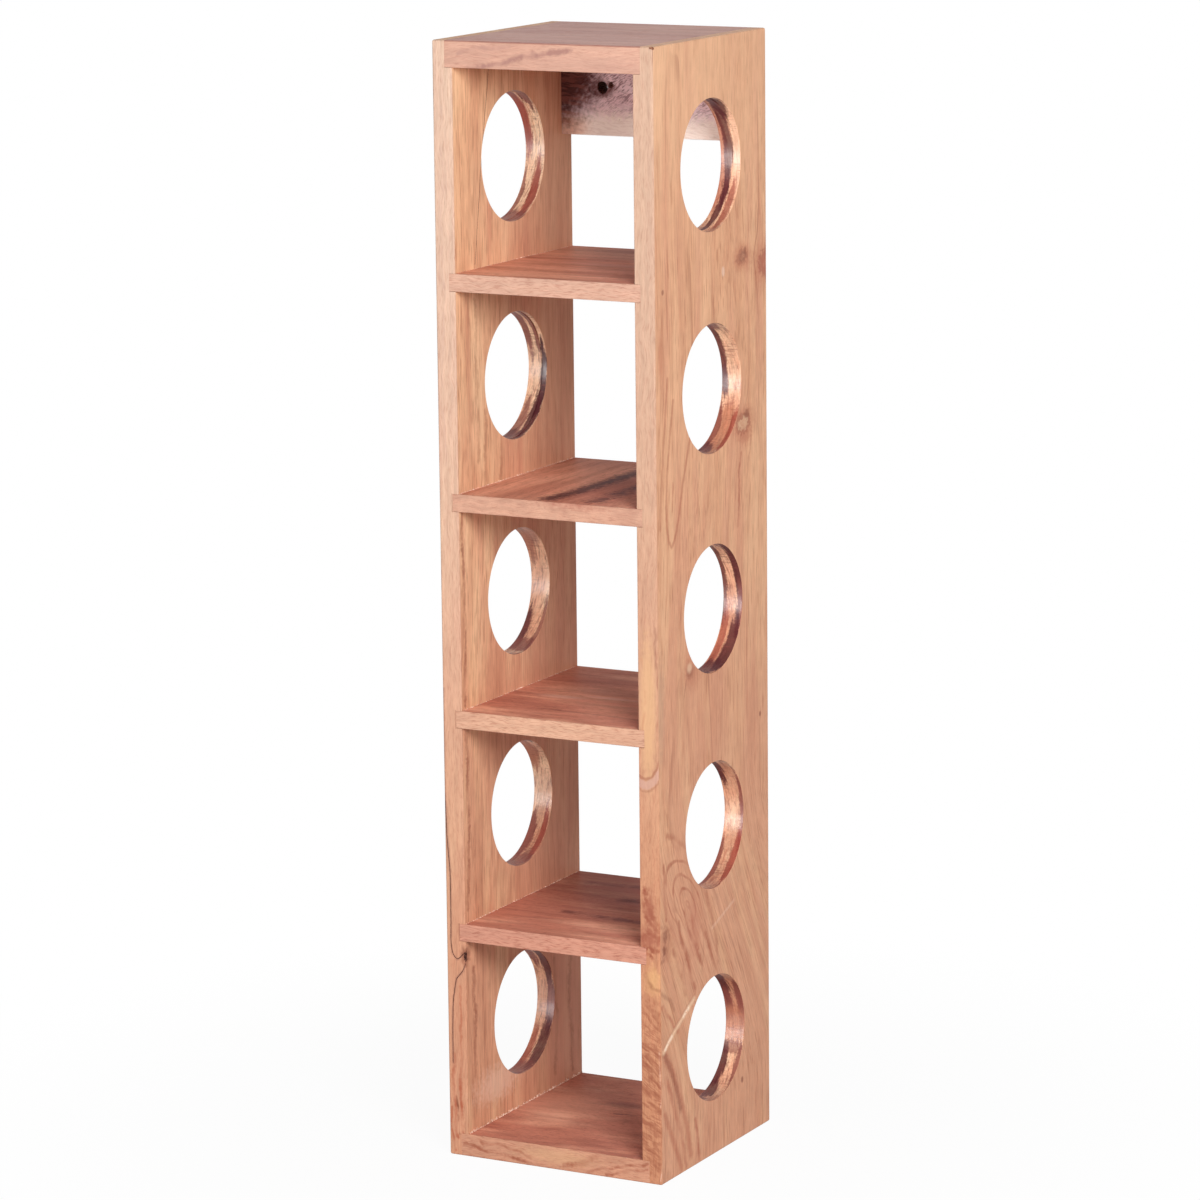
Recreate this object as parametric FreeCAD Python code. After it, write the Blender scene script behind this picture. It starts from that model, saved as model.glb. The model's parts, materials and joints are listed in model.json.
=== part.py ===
import FreeCAD, Part
import math
import os

# Wall wine rack: two upright sides bored for bottles, joined by a top, a bottom and shelves
# that stand in housings cut across the sides, with a rail at the back that takes the wall screws.
# Millimetres. X runs across the rack, +Y to the wall, +Z up. The origin is the middle of the base.

# Overall sizes
width = 150.0
depth = 152.0
bay_height = 125.0
bay_count = 5

# Board thicknesses
side_thickness = 13.5
top_thickness = 16.5
bottom_thickness = 14.5
shelf_thickness = 11.0

# Housings in the sides: a dado holds each shelf, a rabbet at each end holds the top and the bottom
dado_depth = 4.0
rabbet_depth = 5.0
glue_gap = 0.05

# Bottle holes: one in each side of every bay, set out on a pitch slightly longer than the bays'
hole_diameter = 80.0
hole_pitch_gain = 0.9
hole_rim_easing = 0.6

# Hanging rail, under the top and flush with the back
rail_height = 53.0
rail_thickness = 13.0
screw_hole_diameter = 8.0
screw_hole_spacing = 65.0
screw_hole_drop = 23.0
countersink_diameter = 14.0
countersink_depth = 2.0

# Blind dowels across every joint
dowel_diameter = 6.0
dowel_in_board = 16.0
dowel_cover = 3.0
dowel_play = 0.1
dowel_end_gap = 0.4
dowel_chamfer = 0.8
board_dowel_inset = 28.0
rail_dowel_inset = 12.0

# Softened edges: outside corners, and the finer arrises inside the bays
edge_easing = 1.2
arris_easing = 0.5

# Worked out from the sizes above
half_width = width / 2
half_depth = depth / 2
inner_x = half_width - side_thickness
bay_pitch = bay_height + shelf_thickness
roof_z = bottom_thickness + bay_count * bay_pitch - shelf_thickness
height = roof_z + top_thickness
rail_bottom_z = roof_z - rail_height
rail_front_y = half_depth - rail_thickness
rail_middle_y = half_depth - rail_thickness / 2
screw_hole_z = roof_z - screw_hole_drop
dowel_tip_x = half_width - dowel_cover
cutter_overrun = 10.0
same_place = 0.01


def box(x_low, x_high, y_low, y_high, z_low, z_high):
    corner = FreeCAD.Vector(x_low, y_low, z_low)
    return Part.makeBox(x_high - x_low, y_high - y_low, z_high - z_low, corner)


def mirrored(shape):
    return shape.mirror(FreeCAD.Vector(0, 0, 0), FreeCAD.Vector(1, 0, 0))


def runs_along(edge, axis):
    """True for an edge whose two ends lie its whole length apart along the named axis."""
    first = edge.Vertexes[0].Point
    last = edge.Vertexes[-1].Point
    span = abs(getattr(last - first, axis))
    return abs(span - edge.Length) < same_place


def ease(shape, radius, wanted):
    """Round the edges that the test picks out."""
    edges = [edge for edge in shape.Edges if wanted(edge)]
    return shape.makeFillet(radius, edges)


def shelf_bottom_z(index):
    """Underside of a shelf, counted from the lowest as 1."""
    return bottom_thickness + index * bay_pitch - shelf_thickness


def hole_z(index):
    """Centre of a bay's bottle holes, counted from the lowest bay as 0."""
    middle_bay = (bay_count - 1) / 2
    middle_z = bottom_thickness + middle_bay * bay_pitch + bay_height / 2
    return middle_z + (index - middle_bay) * (bay_pitch + hole_pitch_gain)


def dowel_lines(seat_depth, places):
    """Centre lines of dowels on the left: outer end, inner end, and place in Y and Z."""
    inner_end_x = -(inner_x + seat_depth) + dowel_in_board
    return [(-dowel_tip_x, inner_end_x, y, z) for y, z in places]


def board_dowels(seat_depth, middle_z):
    """Two dowels at a board's left end, one towards each long edge."""
    reach = half_depth - board_dowel_inset
    return dowel_lines(seat_depth, [(-reach, middle_z), (reach, middle_z)])


def rail_dowels():
    """Two dowels at the rail's left end, one above the other."""
    low = rail_bottom_z + rail_dowel_inset
    high = roof_z - rail_dowel_inset
    return dowel_lines(0, [(rail_middle_y, low), (rail_middle_y, high)])


def dowel_sockets(lines):
    """Blind holes for dowels on the left, as one cutter."""
    radius = dowel_diameter / 2 + dowel_play
    along = FreeCAD.Vector(1, 0, 0)
    sockets = []
    for start_x, end_x, y, z in lines:
        start = FreeCAD.Vector(start_x, y, z)
        sockets.append(Part.makeCylinder(radius, end_x - start_x, start, along))
    return Part.makeCompound(sockets)


def dowels(lines):
    """Chamfered dowels on both sides, as separate solids."""
    along = FreeCAD.Vector(1, 0, 0)
    pegs = []
    for start_x, end_x, y, z in lines:
        start = FreeCAD.Vector(start_x + dowel_end_gap, y, z)
        length = end_x - start_x - 2 * dowel_end_gap
        peg = Part.makeCylinder(dowel_diameter / 2, length, start, along)
        rims = [edge for edge in peg.Edges if not runs_along(edge, "x")]
        peg = peg.makeChamfer(dowel_chamfer, rims)
        pegs.append(peg)
        pegs.append(mirrored(peg))
    return Part.makeCompound(pegs)


def cut_sockets_both_ends(board, lines):
    sockets = dowel_sockets(lines)
    return board.cut(sockets).cut(mirrored(sockets))


def left_side(all_dowels):
    """The left upright, with its housings, bottle holes and dowel sockets."""
    board = box(-half_width, -inner_x, -half_depth, half_depth, 0, height)

    def on_outside(edge):
        return edge.CenterOfMass.x < -inner_x - same_place

    board = ease(board, edge_easing, on_outside)

    past_front = -half_depth - cutter_overrun
    past_back = half_depth + cutter_overrun
    past_inside = -inner_x + cutter_overrun

    def housing(seat_depth, z_low, z_high):
        return box(-inner_x - seat_depth, past_inside, past_front, past_back, z_low, z_high)

    board = board.cut(housing(rabbet_depth, -cutter_overrun, bottom_thickness + glue_gap))
    board = board.cut(housing(rabbet_depth, roof_z - glue_gap, height + cutter_overrun))
    for index in range(1, bay_count):
        low = shelf_bottom_z(index)
        board = board.cut(housing(dado_depth, low - glue_gap, low + shelf_thickness + glue_gap))

    def on_bay_arris(edge):
        on_inner_face = abs(edge.CenterOfMass.x + inner_x) < same_place
        at_front_or_back = abs(abs(edge.CenterOfMass.y) - half_depth) < same_place
        return runs_along(edge, "z") and on_inner_face and at_front_or_back

    board = ease(board, arris_easing, on_bay_arris)

    along = FreeCAD.Vector(1, 0, 0)
    for index in range(bay_count):
        start = FreeCAD.Vector(-half_width - cutter_overrun, 0, hole_z(index))
        length = side_thickness + 2 * cutter_overrun
        board = board.cut(Part.makeCylinder(hole_diameter / 2, length, start, along))

    def on_hole_rim(edge):
        rim_length = math.pi * hole_diameter
        return len(edge.Vertexes) == 1 and abs(edge.Length - rim_length) < same_place

    board = ease(board, hole_rim_easing, on_hole_rim)
    return board.cut(dowel_sockets(all_dowels))


def cross_board(seat_depth, z_low, z_high, lines, top_easing, under_easing):
    """A level board from housing to housing, with its long edges eased and its ends bored."""
    reach = inner_x + seat_depth - glue_gap
    board = box(-reach, reach, -half_depth, half_depth, z_low, z_high)

    def long_edge_at(z):
        return lambda edge: runs_along(edge, "x") and abs(edge.CenterOfMass.z - z) < same_place

    board = ease(board, top_easing, long_edge_at(z_high))
    board = ease(board, under_easing, long_edge_at(z_low))
    return cut_sockets_both_ends(board, lines)


def hanging_rail(lines):
    """The rail across the back, with two countersunk screw holes."""
    rail = box(-inner_x, inner_x, rail_front_y, half_depth, rail_bottom_z, roof_z)

    def on_lower_arris(edge):
        return runs_along(edge, "x") and abs(edge.CenterOfMass.z - rail_bottom_z) < same_place

    rail = ease(rail, arris_easing, on_lower_arris)
    to_wall = FreeCAD.Vector(0, 1, 0)
    hole_radius = screw_hole_diameter / 2
    for side in (-1, 1):
        mouth = FreeCAD.Vector(side * screw_hole_spacing / 2, rail_front_y, screw_hole_z)
        hole = Part.makeCylinder(hole_radius, rail_thickness, mouth, to_wall)
        countersink = Part.makeCone(
            countersink_diameter / 2, hole_radius, countersink_depth, mouth, to_wall
        )
        rail = rail.cut(hole).cut(countersink)
    return cut_sockets_both_ends(rail, lines)


# Dowel places, one list for each level board and one for the rail
bottom_lines = board_dowels(rabbet_depth, bottom_thickness / 2)
top_lines = board_dowels(rabbet_depth, roof_z + top_thickness / 2)
shelf_lines = {}
for shelf in range(1, bay_count):
    shelf_lines[shelf] = board_dowels(dado_depth, shelf_bottom_z(shelf) + shelf_thickness / 2)
rail_lines = rail_dowels()
every_line = bottom_lines + top_lines + rail_lines
for lines in shelf_lines.values():
    every_line = every_line + lines

# The pieces, by name
pieces = {}
pieces["left_side"] = left_side(every_line)
pieces["right_side"] = mirrored(pieces["left_side"])
pieces["bottom_panel"] = cross_board(
    rabbet_depth, 0, bottom_thickness, bottom_lines, arris_easing, edge_easing
)
pieces["top_panel"] = cross_board(
    rabbet_depth, roof_z, height, top_lines, edge_easing, arris_easing
)
pieces["bottom_panel_dowels"] = dowels(bottom_lines)
pieces["top_panel_dowels"] = dowels(top_lines)
for shelf, lines in shelf_lines.items():
    low = shelf_bottom_z(shelf)
    pieces[f"shelf_{shelf}"] = cross_board(
        dado_depth, low, low + shelf_thickness, lines, arris_easing, arris_easing
    )
    pieces[f"shelf_{shelf}_dowels"] = dowels(lines)
pieces["hanging_rail"] = hanging_rail(rail_lines)
pieces["hanging_rail_dowels"] = dowels(rail_lines)

os.makedirs("parts", exist_ok=True)
for name, shape in pieces.items():
    shape.exportStep(f"parts/{name}.step")
    print(name, len(shape.Solids), "solids", round(shape.Volume), "mm3", shape.isValid())
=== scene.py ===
import json
import math
import random
from collections import namedtuple
from dataclasses import dataclass
from itertools import groupby

import bpy
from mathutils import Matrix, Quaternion, Vector


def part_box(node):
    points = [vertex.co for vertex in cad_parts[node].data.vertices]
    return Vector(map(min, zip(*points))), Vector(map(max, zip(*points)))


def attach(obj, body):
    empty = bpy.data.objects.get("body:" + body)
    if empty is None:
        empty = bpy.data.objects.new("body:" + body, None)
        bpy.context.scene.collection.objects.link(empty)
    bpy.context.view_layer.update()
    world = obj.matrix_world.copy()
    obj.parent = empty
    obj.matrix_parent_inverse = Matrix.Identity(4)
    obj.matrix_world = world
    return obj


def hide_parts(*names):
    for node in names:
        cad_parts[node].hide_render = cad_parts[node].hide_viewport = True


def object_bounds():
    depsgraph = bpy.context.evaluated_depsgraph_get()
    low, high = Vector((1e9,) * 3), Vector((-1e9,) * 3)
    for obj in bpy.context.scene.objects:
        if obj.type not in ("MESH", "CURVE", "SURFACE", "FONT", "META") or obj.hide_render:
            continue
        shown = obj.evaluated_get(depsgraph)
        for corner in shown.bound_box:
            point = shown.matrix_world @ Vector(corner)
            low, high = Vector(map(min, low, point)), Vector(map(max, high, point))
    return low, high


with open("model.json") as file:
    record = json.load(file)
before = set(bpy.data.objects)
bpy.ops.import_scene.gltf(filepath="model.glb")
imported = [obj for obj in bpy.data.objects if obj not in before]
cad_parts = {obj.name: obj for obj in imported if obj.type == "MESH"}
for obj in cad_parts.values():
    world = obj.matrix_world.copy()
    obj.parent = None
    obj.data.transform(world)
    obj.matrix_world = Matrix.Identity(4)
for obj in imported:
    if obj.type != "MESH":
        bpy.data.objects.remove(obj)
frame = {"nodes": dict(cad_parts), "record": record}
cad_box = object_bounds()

# A wall wine rack of warm tan hardwood: two bored uprights, level boards housed between them
# and a rough rail at the back. Meshes are in metres, and shop sizes below are in millimetres.

MM = 0.001

LEVEL_BOARDS = ["bottom_panel", "shelf_1", "shelf_2", "shelf_3", "shelf_4", "top_panel"]


def corners(node):
    """A CAD node's low and high corners, in millimetres."""
    return [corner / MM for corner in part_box(node)]


# Sizes that the frame gives
RACK_LOW, RACK_HIGH = (corner / MM for corner in cad_box)
FRONT_Y = RACK_LOW.y
OUTER_X = RACK_HIGH.x
TOP_Z = RACK_HIGH.z
INNER_X = -corners("left_side")[1].x
RAIL_FRONT_Y = corners("hanging_rail")[0].y
BOTTLE_HOLES = [m for m in frame["record"]["mounts"] if m["name"].startswith("bottle_hole")]
HOLE_RADIUS = BOTTLE_HOLES[0]["dims"]["r_mm"]
HOLE_HEIGHTS = [mount["pos_m"][2] / MM for mount in BOTTLE_HOLES]
HOLE_PITCH = HOLE_HEIGHTS[1] - HOLE_HEIGHTS[0]
WALL_SCREWS = next(m for m in frame["record"]["mounts"] if m["name"] == "wall_screws")
SCREW_HEIGHT = WALL_SCREWS["pos_m"][2] / MM
SCREW_REACH = WALL_SCREWS["dims"]["spacing_x_mm"] / 2
SCREW_RADIUS = WALL_SCREWS["dims"]["hole_r_mm"]

# Easing of the boards' edges, and the gap between a board and its housing
OUTER_EASING = 1.2
ARRIS_EASING = 0.5
RIM_EASING = 0.6
HOUSING_GAP = 0.05


@dataclass
class Face:
    """A flat face of the rack, square to one axis. The other two measures give a spot on it."""

    axis: int
    level: float

    def spot(self, first, second):
        place = [first, second]
        place.insert(self.axis, self.level)
        return tuple(place)

    def path(self, *spots):
        return [self.spot(*measures) for measures in spots]


X, Y, Z = range(3)
FRONT = Face(Y, FRONT_Y)
RIGHT = Face(X, OUTER_X)
INNER_LEFT = Face(X, -INNER_X)
RAIL = Face(Y, RAIL_FRONT_Y)
# The upper faces of the level boards
BOTTOM, SHELF_1, SHELF_2, SHELF_3, SHELF_4, TOP = (Face(Z, corners(node)[1].z) for node in LEVEL_BOARDS)


# Node trees

# The shine of long grain in the hole walls
POLISH_ROUGHNESS = 0.26
POLISH_IOR = 1.65


def rgba(colour):
    """A colour as a socket takes it. A wire passes through."""
    if isinstance(colour, Wire):
        return colour
    return (*colour, 1.0)


class Wire:
    """A value in a finish's node tree. A sum written with wires becomes Math nodes."""

    def __init__(self, finish, socket):
        self.finish = finish
        self.socket = socket

    def __add__(self, other):
        return self.finish.math("ADD", self, other)

    def __radd__(self, other):
        return self.finish.math("ADD", other, self)

    def __sub__(self, other):
        return self.finish.math("SUBTRACT", self, other)

    def __rsub__(self, other):
        return self.finish.math("SUBTRACT", other, self)

    def __mul__(self, other):
        return self.finish.math("MULTIPLY", self, other)

    def __rmul__(self, other):
        return self.finish.math("MULTIPLY", other, self)

    def __truediv__(self, other):
        return self.finish.math("DIVIDE", self, other)


class Finish:
    """A node tree for a material or the world, with one way to add a node."""

    def __init__(self, owner):
        owner.use_nodes = True
        self.owner = owner
        self.tree = owner.node_tree
        self.tree.nodes.clear()

    def node(self, kind, settings, inputs, output=0):
        made = self.tree.nodes.new(kind)
        for name, value in settings.items():
            setattr(made, name, value)
        for key, value in inputs.items():
            if isinstance(value, Wire):
                self.tree.links.new(value.socket, made.inputs[key])
            else:
                made.inputs[key].default_value = value
        if not made.outputs:
            return None
        return Wire(self, made.outputs[output])

    def math(self, operation, *values):
        return self.node("ShaderNodeMath", {"operation": operation}, dict(enumerate(values)))

    def vector_math(self, operation, inputs, output=0):
        return self.node("ShaderNodeVectorMath", {"operation": operation}, inputs, output)

    def times(self, vector, amount):
        """A vector or a colour times an amount."""
        return self.vector_math("SCALE", {0: vector, "Scale": amount})

    def length(self, vector):
        return self.vector_math("LENGTH", {0: vector}, "Value")

    def rise(self, value, low, high):
        """0 at low, 1 at high, with a smooth climb between them."""
        climb = {"interpolation_type": "SMOOTHSTEP", "clamp": False}
        return self.node("ShaderNodeMapRange", climb, {0: value, 1: low, 2: high, 3: 0.0, 4: 1.0})

    def vector(self, x, y, z):
        return self.node("ShaderNodeCombineXYZ", {}, {0: x, 1: y, 2: z})

    def parts(self, vector):
        first = self.node("ShaderNodeSeparateXYZ", {}, {0: vector})
        return [Wire(self, socket) for socket in first.socket.node.outputs]

    def counted(self, axes, *sizes):
        """A point counted in a size along each of its axes."""
        return self.vector(*[axis / size for axis, size in zip(axes, sizes)])

    def place(self):
        """Where a point is on the rack, in millimetres."""
        return self.times(self.node("ShaderNodeTexCoord", {}, {}, "Object"), 1 / MM)

    def noise(self, spot, detail=2.0, roughness=0.5):
        levels = {"Vector": spot, "Scale": 1.0, "Detail": detail, "Roughness": roughness}
        return self.node("ShaderNodeTexNoise", {}, levels)

    def drift(self, spot, detail=1.0):
        """Three noises about zero at once."""
        levels = {"Vector": spot, "Scale": 1.0, "Detail": detail}
        colour = self.node("ShaderNodeTexNoise", {}, levels, "Color")
        return [channel - 0.5 for channel in self.parts(colour)]

    def ripple(self, value):
        """Noise along one line."""
        return self.node("ShaderNodeTexNoise", {"noise_dimensions": "1D"}, {"W": value, "Scale": 1.0})

    def chance(self, value):
        """A number from 0 to 1 for each whole value."""
        return self.node("ShaderNodeTexWhiteNoise", {"noise_dimensions": "1D"}, {"W": value})

    def mix(self, share, under, over, blend="MIX"):
        settings = {"data_type": "RGBA", "blend_type": blend}
        return self.node("ShaderNodeMix", settings, {0: share, 6: rgba(under), 7: rgba(over)}, 2)

    def reach(self, spot, centre, radii):
        """How far a point is from a centre, counted in the radii of an ellipsoid."""
        away = self.vector_math("SUBTRACT", {0: spot, 1: centre})
        return self.length(self.vector_math("DIVIDE", {0: away, 1: radii}))

    def beside(self, spot, start, end):
        """How far a point is from the straight line between two places."""
        run = Vector(end) - Vector(start)
        away = self.vector_math("SUBTRACT", {0: spot, 1: start})
        shadow = self.vector_math("DOT_PRODUCT", {0: away, 1: run}, "Value")
        share = self.node("ShaderNodeClamp", {}, {0: shadow / run.length_squared, 1: 0.0, 2: 1.0})
        return self.length(self.vector_math("SUBTRACT", {0: away, 1: self.times(run, share)}))

    def shade(self, colour, roughness, height, depth, specular, polish=0.0):
        """Ends a material. Depth is the relief in millimetres, and polish is where it shines."""
        relief = {"Strength": 1.0, "Distance": depth * MM, "Height": height}
        bump = self.node("ShaderNodeBump", {}, relief)
        inputs = {
            "Base Color": colour,
            "Roughness": roughness,
            "Normal": bump,
            "Specular IOR Level": specular,
            "Coat Weight": polish,
            "Coat Roughness": POLISH_ROUGHNESS,
            "Coat IOR": POLISH_IOR,
        }
        skin = self.node("ShaderNodeBsdfPrincipled", {}, inputs)
        self.node("ShaderNodeOutputMaterial", {}, {"Surface": skin})
        return self.owner


# Wood

# Log: the way the grain runs, a seed, where the heart of the tree lies beside the board (across its
# width, through its thickness), how far it leans for each millimetre of length, the ring width, and
# how far the grain slips towards the back on its way down an upright's lower third
Log = namedtuple("Log", "grain seed heart lean ring sweep", defaults=[0.0])
Tones = namedtuple("Tones", "pale warm rosy deep line")
# Surface: how rough and shiny, how wide and long the pores are, the depth of its relief, how much
# the pores, ring lines, soft bands and streaks show, and how long a streak is
Surface = namedtuple(
    "Surface", "rough specular pore_wide pore_long relief pores lines bands streaks streak_long"
)

SANDED = Surface(0.46, 0.12, 1.05, 24.0, 0.05, 0.32, 0.50, 0.26, 0.46, 90)
STREAKY = Surface(0.48, 0.08, 1.05, 20.0, 0.05, 0.34, 0.45, 0.34, 0.58, 40)
RUBBED = Surface(0.52, 0.03, 0.95, 6.0, 0.05, 0.26, 0.12, 0.42, 0.22, 40)
WAXED = Surface(0.42, 0.26, 0.95, 10.0, 0.04, 0.10, 0.10, 0.24, 0.12, 85)
SAWN = Surface(0.65, 0.02, 1.20, 5.5, 0.16, 0.20, 0.15, 0.30, 0.25, 60)
BORED = Surface(0.42, 0.10, 1.30, 4.0, 0.10, 0.25, 0.20, 0.35, 0.40, 30)

# Wander: how wide and long its waves are, and how far they push a ring across the board's width and
# through its thickness
Wander = namedtuple("Wander", "wave_wide wave_long wide thick")
SLOW = Wander(75, 330, 24, 16)
QUICK = Wander(16, 80, 3.2, 2.2)

# Heights between which the grain slips, and how far a mark strays from its place
SWEEP_START = 240
SWEEP_END = 30
STRAYING = 7.0

RIGHT_TONES = Tones(
    pale=(0.725, 0.410, 0.243),
    warm=(0.680, 0.362, 0.211),
    rosy=(0.650, 0.328, 0.200),
    deep=(0.480, 0.190, 0.108),
    line=(0.270, 0.080, 0.042),
)
LEFT_TONES = Tones(
    pale=(0.875, 0.578, 0.350),
    warm=(0.795, 0.468, 0.275),
    rosy=(0.720, 0.375, 0.230),
    deep=(0.470, 0.198, 0.116),
    line=(0.260, 0.086, 0.052),
)
LEVEL_TONES = Tones(
    pale=(0.850, 0.430, 0.292),
    warm=(0.710, 0.315, 0.208),
    rosy=(0.595, 0.230, 0.156),
    deep=(0.320, 0.105, 0.074),
    line=(0.170, 0.055, 0.042),
)
# The rail's tones are paler than the other boards' to make up for the shade it sits in at the back: partly
# its own colour, partly painted light
RAIL_TONES = Tones(
    pale=(0.930, 0.750, 0.790),
    warm=(0.870, 0.650, 0.690),
    rosy=(0.830, 0.590, 0.640),
    deep=(0.600, 0.360, 0.370),
    line=(0.160, 0.070, 0.070),
)
BORED_TONES = Tones(
    pale=(0.960, 0.680, 0.450),
    warm=(0.880, 0.560, 0.360),
    rosy=(0.770, 0.420, 0.265),
    deep=(0.440, 0.165, 0.100),
    line=(0.190, 0.055, 0.040),
)

KNOT_BROWN = (0.195, 0.055, 0.030)
KNOT_RED = (0.400, 0.115, 0.062)
KNOT_PALE = (0.740, 0.480, 0.320)
EYE_LINE = (0.330, 0.085, 0.042)
EYE_HEART = (0.500, 0.185, 0.115)
SCAR_CREAM = (0.920, 0.700, 0.540)
FLAME = (0.260, 0.060, 0.033)
HONEY = (0.740, 0.420, 0.190)
CRACK_HALO = (0.28, 0.125, 0.090)
GRAIN_STREAK = (0.33, 0.12, 0.07)
WAVE_BROWN = (0.310, 0.100, 0.058)
DUST_AND_GLINT = (0.800, 0.560, 0.440)
PLUM = (0.095, 0.020, 0.024)
RUST = (0.300, 0.058, 0.040)
UMBER = (0.220, 0.062, 0.050)
CINNAMON = (0.450, 0.172, 0.098)
SOOT = (0.070, 0.018, 0.020)
PALE_WALL = (0.860, 0.520, 0.350)
SCREW_GRIME = (0.130, 0.050, 0.046)
PORE_TINT = (0.70, 0.55, 0.53)


# Marks

# Site: a point on the rack, the same point strayed a little from its place, a ragged noise there, and
# how much of a grain line is left there
Site = namedtuple("Site", "spot stray ragged fade")


def bulged(finish, radius, push, away):
    """A ring's radius, pushed aside near a centre."""
    return radius + push * finish.math("EXPONENT", -1.0 * away * away)


def upright(finish, spot, centre, lean):
    """A spot moved so that what slips towards the back on its way down stands straight."""
    x, y, z = finish.parts(spot)
    return finish.vector(x, y + lean * (z - centre[Z]), z)


class Mark:
    """Something that a board carries besides its plain grain. Some marks are painted light and shade."""

    def bend(self, finish, spot, radius):
        return radius

    def paint(self, finish, site, colour):
        return colour

    def polish(self, finish, site):
        return 0.0


class Tint(Mark):
    """A mark that lays one colour on the wood, as strong at a point as its share there."""

    def paint(self, finish, site, colour):
        return finish.mix(self.share(finish, site), colour, self.colour)


@dataclass
class Together(Tint):
    """Marks of one colour, laid on at once: a shader has room for only so many single ones."""

    colour: tuple
    marks: list

    def share(self, finish, site):
        shares = [mark.share(finish, site) for mark in self.marks]
        most = shares[0]
        for share in shares[1:]:
            most = finish.math("MAXIMUM", most, share)
        return most


def laid_together(marks):
    """The marks, where neighbours of one colour become one."""
    gathered = []
    for colour, run in groupby(marks, key=lambda mark: getattr(mark, "colour", None)):
        gathered.extend([Together(colour, list(run))] if colour else run)
    return gathered


@dataclass
class Swell(Mark):
    """Grain that bulges round a buried branch. Lean is how far it slips towards the back for each
    millimetre down."""

    centre: tuple
    radii: tuple
    push: float
    lean: float = 0.0

    def bend(self, finish, spot, radius):
        away = finish.reach(upright(finish, spot, self.centre, self.lean), self.centre, self.radii)
        return bulged(finish, radius, self.push, away)


@dataclass
class Knot(Mark):
    """A branch: a core and its broken rim in a reddish haze, with the rings pushed aside round it."""

    centre: tuple
    radii: tuple
    core: tuple
    rim: tuple
    rim_strength: float
    push: float = 8.0

    PUSH_REACH = 2.6

    def bend(self, finish, spot, radius):
        away = finish.reach(spot, self.centre, [self.PUSH_REACH * r for r in self.radii])
        return bulged(finish, radius, self.push, away)

    def paint(self, finish, site, colour):
        away = finish.reach(site.stray, self.centre, self.radii) + 1.5 * site.ragged
        colour = finish.mix(finish.rise(away, 2.8, 0.8) * 0.45, colour, KNOT_RED)
        rings = finish.rise(finish.math("SINE", away * 9), -0.5, 0.9)
        core = finish.rise(away, 1.15, 0.65) * (0.85 - 0.35 * rings)
        colour = finish.mix(core, colour, self.core)
        rim = finish.rise(finish.math("ABSOLUTE", away - 0.95), 0.42, 0.05)
        return finish.mix(rim * self.rim_strength, colour, self.rim)


@dataclass
class Lip(Tint):
    """The rounded foot of an oval patch of grain, between two of its outlines."""

    centre: tuple
    radii: tuple
    inner: float
    outer: float
    colour: tuple
    strength: float

    SOFTNESS = 0.04

    def share(self, finish, site):
        away = finish.reach(site.spot, self.centre, self.radii) + 0.12 * site.ragged
        inside = finish.rise(away, self.inner - self.SOFTNESS, self.inner + self.SOFTNESS)
        outside = finish.rise(away, self.outer + self.SOFTNESS, self.outer - self.SOFTNESS)
        height = finish.parts(site.spot)[Z]
        low = finish.rise(height, self.centre[Z], self.centre[Z] - 0.5 * self.radii[Z])
        return inside * outside * low * self.strength


@dataclass
class Arches(Tint):
    """Grain lines arched one over another above a centre, each slipping towards the back on its way
    down. Span is how far out they start and end, in radii, and often is how many lines a radius has."""

    centre: tuple
    radii: tuple
    lean: float
    span: tuple
    often: float
    colour: tuple
    strength: float

    def share(self, finish, site):
        away = finish.reach(upright(finish, site.stray, self.centre, self.lean), self.centre, self.radii)
        lines = finish.rise(finish.math("SINE", away * self.often * 2 * math.pi), 0.55, 1.0)
        start, end = self.span
        within = finish.rise(away, start - 0.1, start + 0.1) * finish.rise(away, end, 0.6 * end)
        height = finish.parts(site.stray)[Z]
        above = finish.rise(height, self.centre[Z] - 1.4 * self.radii[Z], self.centre[Z])
        return lines * within * above * site.fade * self.strength


@dataclass
class StainOrPaintedLight(Tint):
    """A patch of another colour. Some patches are stains and some are painted light and shade, as said where
    they are laid. Edge is how soft it ends, as a share of its size.
    """

    centre: tuple
    radii: tuple
    colour: tuple
    strength: float
    edge: float = 0.4
    waver: float = 0.7

    def share(self, finish, site):
        away = finish.reach(site.spot, self.centre, self.radii) + self.waver * site.ragged
        return finish.rise(away, 1.0 + self.edge, 1.0 - self.edge) * self.strength


@dataclass
class Line(Tint):
    """A coloured line from place to place, ragged along its edges. It strays from its places and
    fades in and out along them, unless it keeps to them."""

    places: list
    width: float
    colour: tuple
    strength: float
    waver: float = 0.9
    strays: bool = True

    def share(self, finish, site):
        spot = site.stray if self.strays else site.spot
        stretches = list(zip(self.places, self.places[1:]))
        gap = finish.beside(spot, *stretches[0])
        for stretch in stretches[1:]:
            gap = finish.math("MINIMUM", gap, finish.beside(spot, *stretch))
        away = gap / self.width + self.waver * site.ragged
        share = finish.rise(away, 1.15, 0.1) * self.strength
        if self.strays:
            return share * site.fade
        return share


@dataclass
class Ripples(Tint):
    """Curly or torn grain that shows as slanting ripples, seen along x and z."""

    centre: tuple
    radii: tuple
    colour: tuple
    strength: float
    slope: float
    long: float
    thick: float

    def share(self, finish, site):
        x, y, z = finish.parts(site.stray)
        along = x - self.slope * z
        across = z + self.slope * x
        wave = finish.noise(finish.counted((along, y, across), self.long, self.long, self.thick))
        away = finish.reach(site.spot, self.centre, self.radii) + 0.6 * site.ragged
        return finish.rise(wave, 0.46, 0.62) * finish.rise(away, 1.2, 0.6) * self.strength


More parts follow.
